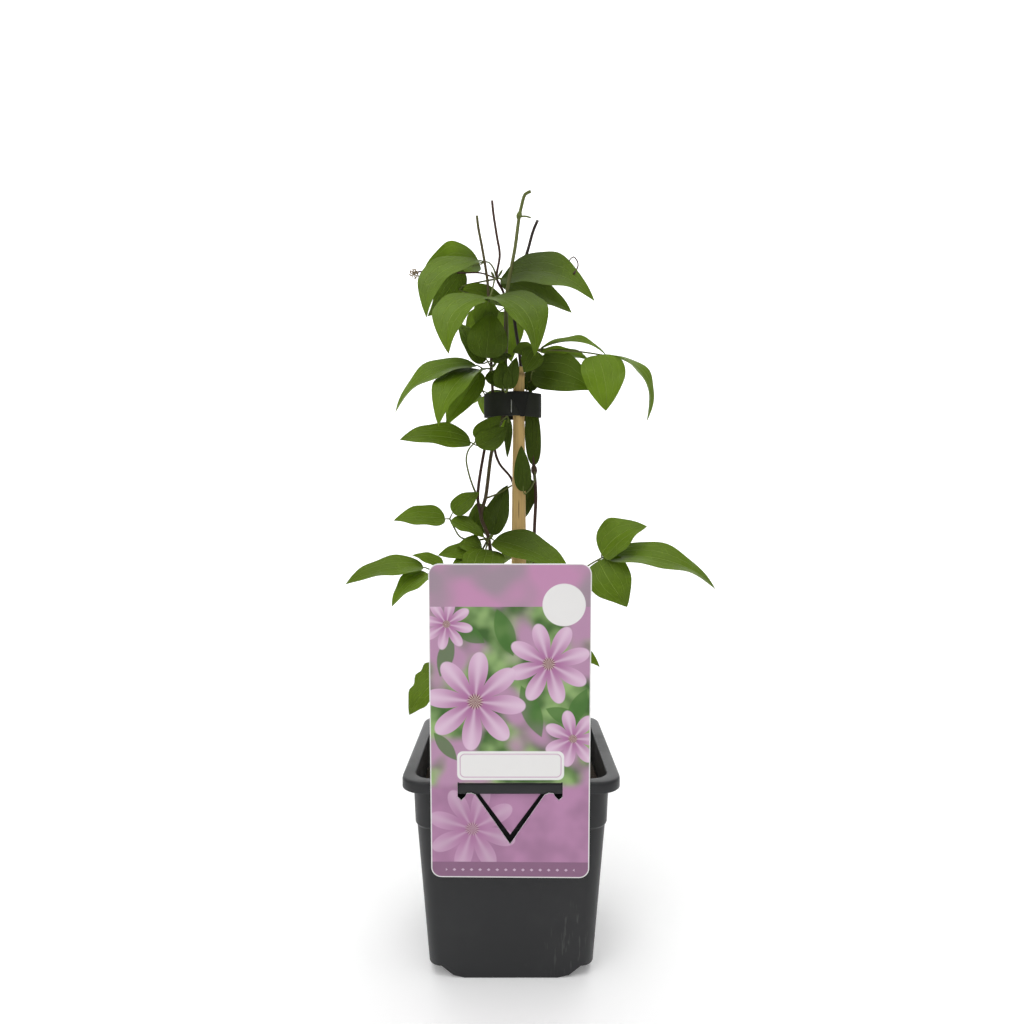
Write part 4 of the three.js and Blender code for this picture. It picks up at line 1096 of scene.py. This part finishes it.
class ClimberBuildPot(bpy.types.Operator):
    """Square nursery pot: its wall with rolled rim, stacking step and foot tabs, and its base."""

    bl_idname = "climber.build_pot"
    bl_label = "Pot"

    def execute(self, context):
        settings = context.scene.climber_pot
        wall = settings.wall / MM
        plastic = pot_finish(settings.plastic)
        top = POT_HEIGHT
        profile = rounded_profile([
            (FOOT_HALF, 0, 0.4),
            (STEP_HALF, STEP_HEIGHT, 0.5),
            (STEP_HALF + 1, STEP_HEIGHT + 1.5, 0.5),
            (NECK_HALF, top - wall, 0.6),
            (RIM_HALF - wall, top - wall, 0.4),
            (RIM_HALF - wall, top - SKIRT_HEIGHT, 0.4),
            (RIM_HALF, top - SKIRT_HEIGHT, 0.4),
            (RIM_HALF, top, 1.6),
            (NECK_HALF - wall, top, 1.2),
            (STEP_HALF + 1 - wall, STEP_HEIGHT + 1.5, 0.5),
            (STEP_HALF - wall, STEP_HEIGHT, 0.5),
            (FOOT_HALF - wall, 0, 0.4),
        ])
        half, height = profile[:, 0], profile[:, 1]
        x, y = square_ring(half, RIM_CORNER - CORNER_TAPER * (RIM_HALF - half))
        # Between the tabs the wall starts at the base's height, after a short slope.
        along_side = np.minimum(np.abs(x), np.abs(y))
        raised = BASE_HEIGHT * np.clip((along_side - TAB_HALF) / TAB_SLOPE, 0, 1)
        low_share = np.clip(1 - height[:, None] / STEP_HEIGHT, 0, 1)
        z = height[:, None] + raised * low_share
        points = np.stack([x, y, z], -1)
        faces = grid_faces(*x.shape, closed_rows=True)
        rows = np.arange(len(half))
        # The profile's second half is the inner wall, where it lies inside the outer one.
        outer = np.interp(height, [0, STEP_HEIGHT, top], [FOOT_HALF, STEP_HALF, NECK_HALF])
        is_inner = (half < outer - wall / 2) & (rows > len(rows) / 2)
        inner = np.broadcast_to(is_inner[:, None].astype(float), x.shape)
        traits = {"inner": inner.ravel()}
        shell = {"points": points.reshape(-1, 3), "faces": faces, "traits": traits}
        settle(place_mesh("pot_wall", shell, 40), "pot", "pot_plastic", plastic)

        plate_half = FOOT_HALF - wall + 0.2
        outline = np.column_stack([side[0] for side in square_ring([plate_half], [8])])
        ways = (-DRAIN_REACH, DRAIN_REACH)
        spots = [(0, 0)] + [(hx, hy) for hx in ways for hy in ways]
        holes = [circle(hx, hy, DRAIN_RADIUS) for hx, hy in spots]
        points, faces = flat_plate("pot_base", outline, holes, BASE_THICKNESS)
        points[:, 2] += BASE_HEIGHT + BASE_THICKNESS / 2
        base = place_mesh("pot_base", {"points": points, "faces": faces}, 40)
        settle(base, "pot", "pot_plastic", plastic)
        return {"FINISHED"}


def soil_height(x, y, lump):
    """The mix's top: broad lumps from two crossed waves, and finer ones from three more."""
    broad = np.sin(x / 9 + 1) * np.cos(y / 7) + 0.6 * np.sin((x - y) / 5)
    fine = 0.35 * np.sin(x * 1.1 + 2 * np.sin(y * 0.7)) * np.sin(y * 1.3)
    fine = fine + 0.2 * np.sin(x * 2.3 + y * 1.9)
    return SOIL_TOP + lump * (broad + fine)


def crumb_shell(count, reach, lump):
    """Loose crumbs on the mix, up to the reach from its middle along x and along y.

    Each is an icosahedron whose corners move in or out at random. It is drawn out along its own
    axes, and turned by the orthogonal part of a matrix of normal numbers.
    """
    draw = np.random.default_rng(CRUMB_SEED)
    golden = (1 + 5**0.5) / 2
    signs = [(s, t * golden) for s in (-1, 1) for t in (-1, 1)]
    corner = [(0, s, t) for s, t in signs] + [(s, t, 0) for s, t in signs]
    corner = np.array(corner + [(t, 0, s) for s, t in signs]) / 1.9
    gap = np.linalg.norm(corner[:, None] - corner[None], axis=-1)
    near = (gap > 0) & (gap < 1.1)
    triples = [
        (a, b, c) for a in range(12) for b in range(a + 1, 12) for c in range(b + 1, 12)
        if near[a, b] and near[b, c] and near[a, c]
    ]
    faces = np.array([
        (a, b, c) if np.linalg.det(corner[[a, b, c]]) > 0 else (a, c, b) for a, b, c in triples
    ])
    spot = draw.uniform(-reach, reach, (count, 2))
    size = draw.uniform(0.5, 1.9, (count, 1, 3)) * draw.uniform(0.4, 1.0, (count, 1, 1))
    turn = np.linalg.qr(draw.normal(size=(count, 3, 3)))[0]
    turn[np.linalg.det(turn) < 0, :, 0] *= -1
    rough = corner[None] * draw.uniform(0.75, 1.2, (count, 12, 1)) * size
    shapes = np.einsum("nij,nkj->nki", turn, rough)
    ground = soil_height(spot[:, 0], spot[:, 1], lump)
    shapes += np.column_stack([spot, ground + 0.2])[:, None]
    offsets = 12 * np.arange(count)[:, None, None]
    return {
        "points": shapes.reshape(-1, 3),
        "faces": (faces[None] + offsets).reshape(-1, 3).tolist(),
    }


class ClimberBuildSoil(bpy.types.Operator):
    """The potting mix that fills the pot, and its loose crumbs."""

    bl_idname = "climber.build_soil"
    bl_label = "Potting mix"

    def execute(self, context):
        settings = context.scene.climber_pot
        lump = settings.lump / MM
        inside = settings.wall / MM + 0.3
        peat = soil_finish(settings.mix)
        # Two rings stand against the wall; the others close in over the top, which dips at its rim.
        share = np.linspace(1, 0.02, 44)
        edge = NECK_HALF - inside - 1
        side_halves = np.array([FOOT_HALF - inside, STEP_HALF - inside - 0.2])
        halves = np.concatenate([side_halves, edge * share])
        corners = np.concatenate([[7, 9], 11.6 * share])
        x, y = square_ring(halves, corners)
        z = soil_height(x, y, lump)
        z[0], z[1] = BASE_HEIGHT + BASE_THICKNESS + 0.3, STEP_HEIGHT
        z[2:] -= (2.2 * share**14)[:, None]
        settle(place_mesh("soil_mix", skin(np.stack([x, y, z], -1))), "soil", "soil", peat)

        crumbs = crumb_shell(settings.crumbs, edge - 4, lump)
        settle(place_mesh("soil_crumbs", crumbs, 30), "soil", "soil", peat)
        return {"FINISHED"}


class ClimberBuildCane(bpy.types.Operator):
    """The bamboo cane: a long taper with swollen rings and a hollow top."""

    bl_idname = "climber.build_cane"
    bl_label = "Cane"

    def execute(self, context):
        swell = context.scene.climber_support.ring_swell / MM
        z = np.linspace(CANE_BOTTOM, CANE_TOP - 0.4, 300)
        radius = np.interp(z, *zip(*CANE_RADII))
        ring = sum(np.exp(-(((z - place) / 1.3) ** 2)) for place in CANE_RINGS)
        waist = sum(np.exp(-(((z - place - 3) / 1.5) ** 2)) for place in CANE_RINGS)
        radius = radius + swell * ring - 0.15 * waist
        top = np.array([
            (3.6, CANE_TOP), (1.7, CANE_TOP), (1.3, CANE_TOP - 0.4), (1.2, CANE_TOP - 4),
        ])
        radius, z = np.concatenate([radius, top[:, 0]]), np.concatenate([z, top[:, 1]])
        ring = np.concatenate([ring, np.zeros(len(top))])
        angle = np.linspace(0, 2 * np.pi, 40, endpoint=False)
        wobble = 1 + 0.012 * np.cos(2 * angle[None] + z[:, None] / 40)
        wobble = wobble + 0.008 * np.cos(5 * angle[None])
        reach = radius[:, None] * wobble
        x, y = CANE_PLACE[0] + reach * np.cos(angle), CANE_PLACE[1] + reach * np.sin(angle)
        rings = np.stack([x, y, z[:, None] + 0 * x], -1)
        shell = skin(rings, {"ring": np.clip(ring[:, None] + 0 * x, 0, 1)})
        bamboo = cane_finish(context.scene.climber_support.bamboo)
        settle(place_mesh("cane_bamboo", shell, 50), "cane", "bamboo", bamboo)
        return {"FINISHED"}


class ClimberBuildTie(bpy.types.Operator):
    """The flat band round cane and stems, its free end folded over and pinned."""

    bl_idname = "climber.build_tie"
    bl_label = "Tie"

    def execute(self, context):
        band = tie_finish(context.scene.climber_support.band)
        middle_z = (TIE_BOTTOM + TIE_TOP) / 2
        half_z = (TIE_TOP - TIE_BOTTOM) / 2
        cross = rounded_profile([(-1, -1, 0.2), (1, -1, 0.2), (1, 1, 0.2), (-1, 1, 0.2)])
        angle = np.linspace(0, 2 * np.pi, 120, endpoint=False)[:, None]
        out = cross[:, 0] * TIE_THICKNESS / 2
        ripple = 0.25 * np.sin(3 * angle) * np.ones_like(out)
        x = TIE_PLACE[0] + (TIE_HALVES[0] + out) * np.cos(angle)
        y = TIE_PLACE[1] + (TIE_HALVES[1] + out) * np.sin(angle)
        z = middle_z + cross[:, 1] * half_z + ripple
        loop = np.stack([x, y, z], -1)
        faces = [face[::-1] for face in grid_faces(len(angle), len(cross), closed_rows=True)]
        shell = {"points": loop.reshape(-1, 3), "faces": faces, "traits": {}}
        settle(place_mesh("tie_loop", shell, 40), "tie", "tie_band", band)

        # The free end is pinched into a funnel on the loop's front, wide above and narrow below.
        down = np.linspace(0, 1, 26)[:, None]
        edges = [np.interp(down, [0, 1], ends) for ends in (FLAP_LEFT, FLAP_RIGHT)]
        side = (cross[:, 0] + 1) / 2
        x = edges[0] + (edges[1] - edges[0]) * side
        off = (x - TIE_PLACE[0]) / TIE_HALVES[0]
        front = TIE_HALVES[1] * np.sqrt(np.clip(1 - off**2, 0.05, 1))
        stand = 0.75 + FLAP_STAND * (side * (1.2 - side) * 2.6 + 0.5 * side**4) * (1 - 0.4 * down)
        y = TIE_PLACE[1] - front - stand - cross[:, 1] * 0.25
        z = TIE_TOP + 0.2 - (TIE_TOP - TIE_BOTTOM + 0.6) * down + 0 * x
        flap = skin(np.stack([x, y, z], -1))
        # The folded end is the same band, darkened as painted shade of its pinched funnel.
        dark = tie_finish(rgb(context.scene.climber_support.band, 0.35))
        settle(place_mesh("tie_end", flap, 40), "tie", "tie_band", dark)

        x, low, high = PIN
        face = TIE_PLACE[1] - TIE_HALVES[1] - TIE_THICKNESS / 2
        route = [
            (x, face + 1, low), (x, face - 0.35, low + 0.1), (x, face - 0.55, (low + high) / 2),
            (x, face - 0.35, high - 0.1), (x, face + 1, high),
        ]
        pin = place_mesh("tie_pin", tube(route, PIN_RADIUS, taper=1.0, sides=8, step=0.3))
        settle(pin, "tie", "tie_band", pin_finish())
        return {"FINISHED"}


def label_outline():
    """The card's outline: a rectangle with four arcs for corners."""
    loops = []
    for quarter, (sx, sy) in enumerate([(1, 1), (-1, 1), (-1, -1), (1, -1)]):
        arc = (quarter + np.linspace(0, 1, 9)) * np.pi / 2
        cx = sx * (LABEL_HALF - LABEL_CORNER)
        cy = LABEL_ABOVE - LABEL_CORNER if sy > 0 else -LABEL_BELOW + LABEL_CORNER
        x, y = cx + LABEL_CORNER * np.cos(arc), cy + LABEL_CORNER * np.sin(arc)
        loops.append(np.column_stack([x, y]))
    return np.concatenate(loops)


def print_front(piece, limit):
    """Faces whose normal's y is under the limit keep the print, the others get the bare card."""
    facing = np.zeros(len(piece.data.polygons) * 3)
    piece.data.polygons.foreach_get("normal", facing)
    piece.data.polygons.foreach_set("material_index", (facing[1::3] > limit).astype(np.int32))


class ClimberBuildLabel(bpy.types.Operator):
    """The hang label: a printed card with its hook cut-out, and the tongue that hooks it."""

    bl_idname = "climber.build_label"
    bl_label = "Label"

    def execute(self, context):
        settings = context.scene.climber_label
        thickness = settings.thickness / MM
        right = list(SLOT_SIDE)
        left = [(-x, y) for x, y in reversed(right)]
        slot = np.array(right + [(0, SLOT_APEX)] + left, float)
        flat, faces = flat_plate("label_card", label_outline(), [slot], thickness)
        x, up, out = flat[:, 0], flat[:, 1], flat[:, 2] + thickness / 2
        # The card's lower right corner lifts.
        on = np.clip((x - WARP_START[0]) / WARP_SPAN[0], 0, 1)
        down = np.clip((WARP_START[1] - up) / WARP_SPAN[1], 0, 1)
        out = out + settings.warp / MM * (on * down) ** 2
        lean, turn = math.cos(LABEL_LEAN), math.sin(LABEL_LEAN)
        points = np.column_stack([
            LABEL_X + x,
            LABEL_BACK - up * turn - out * lean,
            LABEL_LINE + up * lean - out * turn,
        ])
        print_spot = np.column_stack([x, up, 0 * x])
        shell = {"points": points, "faces": faces, "traits": {"print": print_spot}}
        card = place_mesh("label_card", shell, 30)
        printed, bare = print_finish(settings.mauve), card_finish()
        settle(card, "label", "label_film", printed, bare)
        print_front(card, -0.9)

        # The tongue: over the rim, down through its slit, then a triangle under the skirt.
        path = smooth_route([
            (0, -66.2, TONGUE_TOP - 0.3), (0, -65, TONGUE_TOP), (0, -63.4, TONGUE_TOP),
            (0, TONGUE_BACK, TONGUE_TOP - 0.8), (0, TONGUE_BACK, TONGUE_BAR),
            (0, TONGUE_BACK, TONGUE_APEX),
        ], 70)
        height = path[:, 2]
        point = TONGUE_SHOULDER * (height - TONGUE_APEX) / (TONGUE_BAR - TONGUE_APEX)
        half = np.where(height > TONGUE_BAR, TONGUE_HALF, point)
        half = np.clip(half, 0.15, None)[:, None]
        cross = rounded_profile([(-1, -1, 0.04), (1, -1, 0.04), (1, 1, 0.04), (-1, 1, 0.04)])
        ahead = unit(np.gradient(path, axis=0))
        side = np.array([1.0, 0, 0])
        over = np.cross(ahead, side)
        rings = path[:, None] + (cross[:, 1] * thickness / 2)[None, :, None] * over[:, None]
        rings = rings + (half * cross[:, 0] + LABEL_X)[..., None] * side
        across, up = rings[..., 0] - LABEL_X, rings[..., 2] - LABEL_LINE
        spots = np.stack([across, up, 0 * up], -1)
        tongue = place_mesh("label_tongue", skin(rings, {"print": spots}), 40)
        settle(tongue, "label", "label_film", printed, bare)
        print_front(tongue, -0.5)
        return {"FINISHED"}


class ClimberBuildStems(bpy.types.Operator):
    """Every stem, leaf stalk, bud and dried end."""

    bl_idname = "climber.build_stems"
    bl_label = "Stems"

    def execute(self, context):
        settings = context.scene.climber_plant
        bark = stem_finish(settings.young, settings.woody)
        for node, leaves in LEAVES.items():
            shells = [
                tube(route, radius, taper=0.82, sides=12, ribs=0.05, age=age)
                for owner, radius, age, route in STEMS if owner == node
            ]
            for stalk, blades in leaves:
                if len(stalk) > 1:
                    shells.append(tube(stalk, **LEAF_STALK))
                for base, tip, *_ in blades:
                    inside = np.array(base) + STALK_DEPTH * (np.array(tip) - np.array(base))
                    shells.append(tube([stalk[-1], base, tuple(inside)], **LEAFLET_STALK))
            for owner, radius, taper, step, age, route in SIDE_TUBES:
                if owner == node:
                    shells.append(tube(route, radius, taper, sides=8, step=step, age=age))
            settle(place_mesh(f"{node}_wood", joined(shells)), node, "foliage", bark)

        # The dried tip: small curls about the knot, each turned by the golden angle from the last.
        curls = []
        turn = np.linspace(0, 1.7 * np.pi, 20)[:, None]
        for spin in CURL_TURN * np.arange(KNOT_CURLS):
            cos, sin = math.cos(spin), math.sin(spin)
            wide = unit(np.array([cos, 0.5, sin]))
            high = unit(np.cross(wide, (0.2, 1, 0.3)))
            heart = np.array(KNOT) + CURL_SPREAD * np.array([cos, math.sin(1.7 * spin), sin])
            route = heart + CURL_RADIUS * (np.cos(turn) * wide + np.sin(turn) * high)
            curls.append(tube(route, radius=0.5, taper=0.6, sides=8, step=0.5))
        settle(place_mesh("dried_knot", joined(curls)), "stem_back", "foliage", dry_finish())

        for index, (node, foot, tip, radius, age) in enumerate(BUDS):
            shell = bud(np.array(foot, float), np.array(tip, float), radius, age)
            settle(place_mesh(f"bud_{index}", shell), node, "foliage", bark)
        return {"FINISHED"}


class ClimberBuildLeaves(bpy.types.Operator):
    """Every leaflet, each with its own tone."""

    bl_idname = "climber.build_leaves"
    bl_label = "Leaves"

    def execute(self, context):
        settings = context.scene.climber_plant
        draw = np.random.default_rng(settings.seed)
        green = leaf_finish(settings.leaf_top, settings.leaf_under)
        thick = settings.blade_thickness / MM
        for node, leaves in LEAVES.items():
            shells = [
                blade(*leaflet, tone=draw.uniform(), thickness=thick)
                for _, leaflets in leaves for leaflet in leaflets
            ]
            settle(place_mesh(f"{node}_leaves", joined(shells)), node, "foliage", green)
        return {"FINISHED"}


class ClimberBuildStage(bpy.types.Operator):
    """Pale floor that curves up into a backdrop, soft lights, and the camera."""

    bl_idname = "climber.build_stage"
    bl_label = "Stage"

    def execute(self, context):
        settings = context.scene.climber_stage
        scene = context.scene
        turn = np.linspace(0, np.pi / 2, 24)
        curve = STAGE_BACK - STAGE_BEND + STAGE_BEND * np.sin(turn)
        depth = np.concatenate([[STAGE_FRONT], curve, [STAGE_BACK]])
        rise = np.concatenate([[0], STAGE_BEND - STAGE_BEND * np.cos(turn), [STAGE_HEIGHT]])
        x, y = np.meshgrid([-STAGE_HALF, STAGE_HALF], depth)
        z = rise[:, None] + 0 * x
        rows = np.arange(len(depth) - 1)[:, None]
        faces = (2 * rows + np.array([[0, 1, 3, 2]])).tolist()
        points = np.stack([x, y, z], -1).reshape(-1, 3)
        floor = place_mesh("stage_floor", {"points": points, "faces": faces})
        pale = Finish("stage_pale", 0.9, Emission_Color=(1, 1, 1, 1), Emission_Strength=0.16)
        tint = pale.noise(pale.place(), 1.5, 1.0)
        pale.colour(pale.mix(tint, rgb(settings.floor), rgb(settings.floor, 0.99)))
        floor.data.materials.append(pale.material)

        # The background is white to the eye, and lights the plant more dimly.
        world = bpy.data.worlds.new("studio")
        scene.world = world
        world.use_nodes = True
        nodes, links = world.node_tree.nodes, world.node_tree.links
        background = nodes["Background"]
        background.inputs["Color"].default_value = (1, 1, 1, 1)
        seen = nodes.new("ShaderNodeMapRange")
        seen.inputs["To Min"].default_value = AMBIENT
        links.new(nodes.new("ShaderNodeLightPath").outputs["Is Camera Ray"], seen.inputs["Value"])
        links.new(seen.outputs[0], background.inputs["Strength"])
        scene.view_settings.view_transform = "Standard"

        # The lights before the plant point at it, those behind it at the backdrop.
        aim = np.array([CENTRE[0], CENTRE[1], LIGHT_AIM])
        for name, place, size, power in LIGHTS:
            data = bpy.data.lights.new(name, "AREA")
            data.shape = "DISK"
            data.size = size
            data.energy = power
            lamp = bpy.data.objects.new(name, data)
            lamp.location = aim + np.array(place)
            x, y, z = place if place[1] < 0 else WALL_AIM
            lamp.rotation_euler = (math.atan2(math.hypot(x, y), z), 0, math.atan2(x, -y))
            scene.collection.objects.link(lamp)

        camera = bpy.data.cameras.new("photo_view")
        camera.sensor_width = 36
        camera.lens = settings.lens
        eye = bpy.data.objects.new("photo_view", camera)
        eye.location = CENTRE + np.array(CAMERA_PLACE) * MM
        eye.rotation_euler = (math.pi / 2 - CAMERA_TILT, 0, 0)
        scene.collection.objects.link(eye)
        scene.camera = eye
        return {"FINISHED"}


STEPS = (
    ClimberBuildPot,
    ClimberBuildSoil,
    ClimberBuildCane,
    ClimberBuildTie,
    ClimberBuildLabel,
    ClimberBuildStems,
    ClimberBuildLeaves,
    ClimberBuildStage,
)
SETTINGS = {
    "climber_pot": ClimberPotSettings,
    "climber_support": ClimberSupportSettings,
    "climber_label": ClimberLabelSettings,
    "climber_plant": ClimberPlantSettings,
    "climber_stage": ClimberStageSettings,
}


class ClimberPanel(bpy.types.Panel):
    """The plant's settings and building steps."""

    bl_idname = "VIEW3D_PT_climber"
    bl_label = "Potted Climber"
    bl_space_type = "VIEW_3D"
    bl_region_type = "UI"
    bl_category = "Potted Climber"

    def draw(self, context):
        for name, group in SETTINGS.items():
            held = getattr(context.scene, name)
            box = self.layout.box()
            box.label(text=group.__doc__)
            for field in group.__annotations__:
                box.prop(held, field)
        for step in STEPS:
            self.layout.operator(step.bl_idname)


def register():
    for kind in (*SETTINGS.values(), *STEPS, ClimberPanel):
        bpy.utils.register_class(kind)
    for name, group in SETTINGS.items():
        setattr(bpy.types.Scene, name, bpy.props.PointerProperty(type=group))


def unregister():
    for name in SETTINGS:
        delattr(bpy.types.Scene, name)
    for kind in reversed((*SETTINGS.values(), *STEPS, ClimberPanel)):
        bpy.utils.unregister_class(kind)


def main():
    """Builds every piece and the stage."""
    register()
    bpy.ops.climber.build_pot()
    bpy.ops.climber.build_soil()
    bpy.ops.climber.build_cane()
    bpy.ops.climber.build_tie()
    bpy.ops.climber.build_label()
    bpy.ops.climber.build_stems()
    bpy.ops.climber.build_leaves()
    bpy.ops.climber.build_stage()


if __name__ == "__main__":
    main()
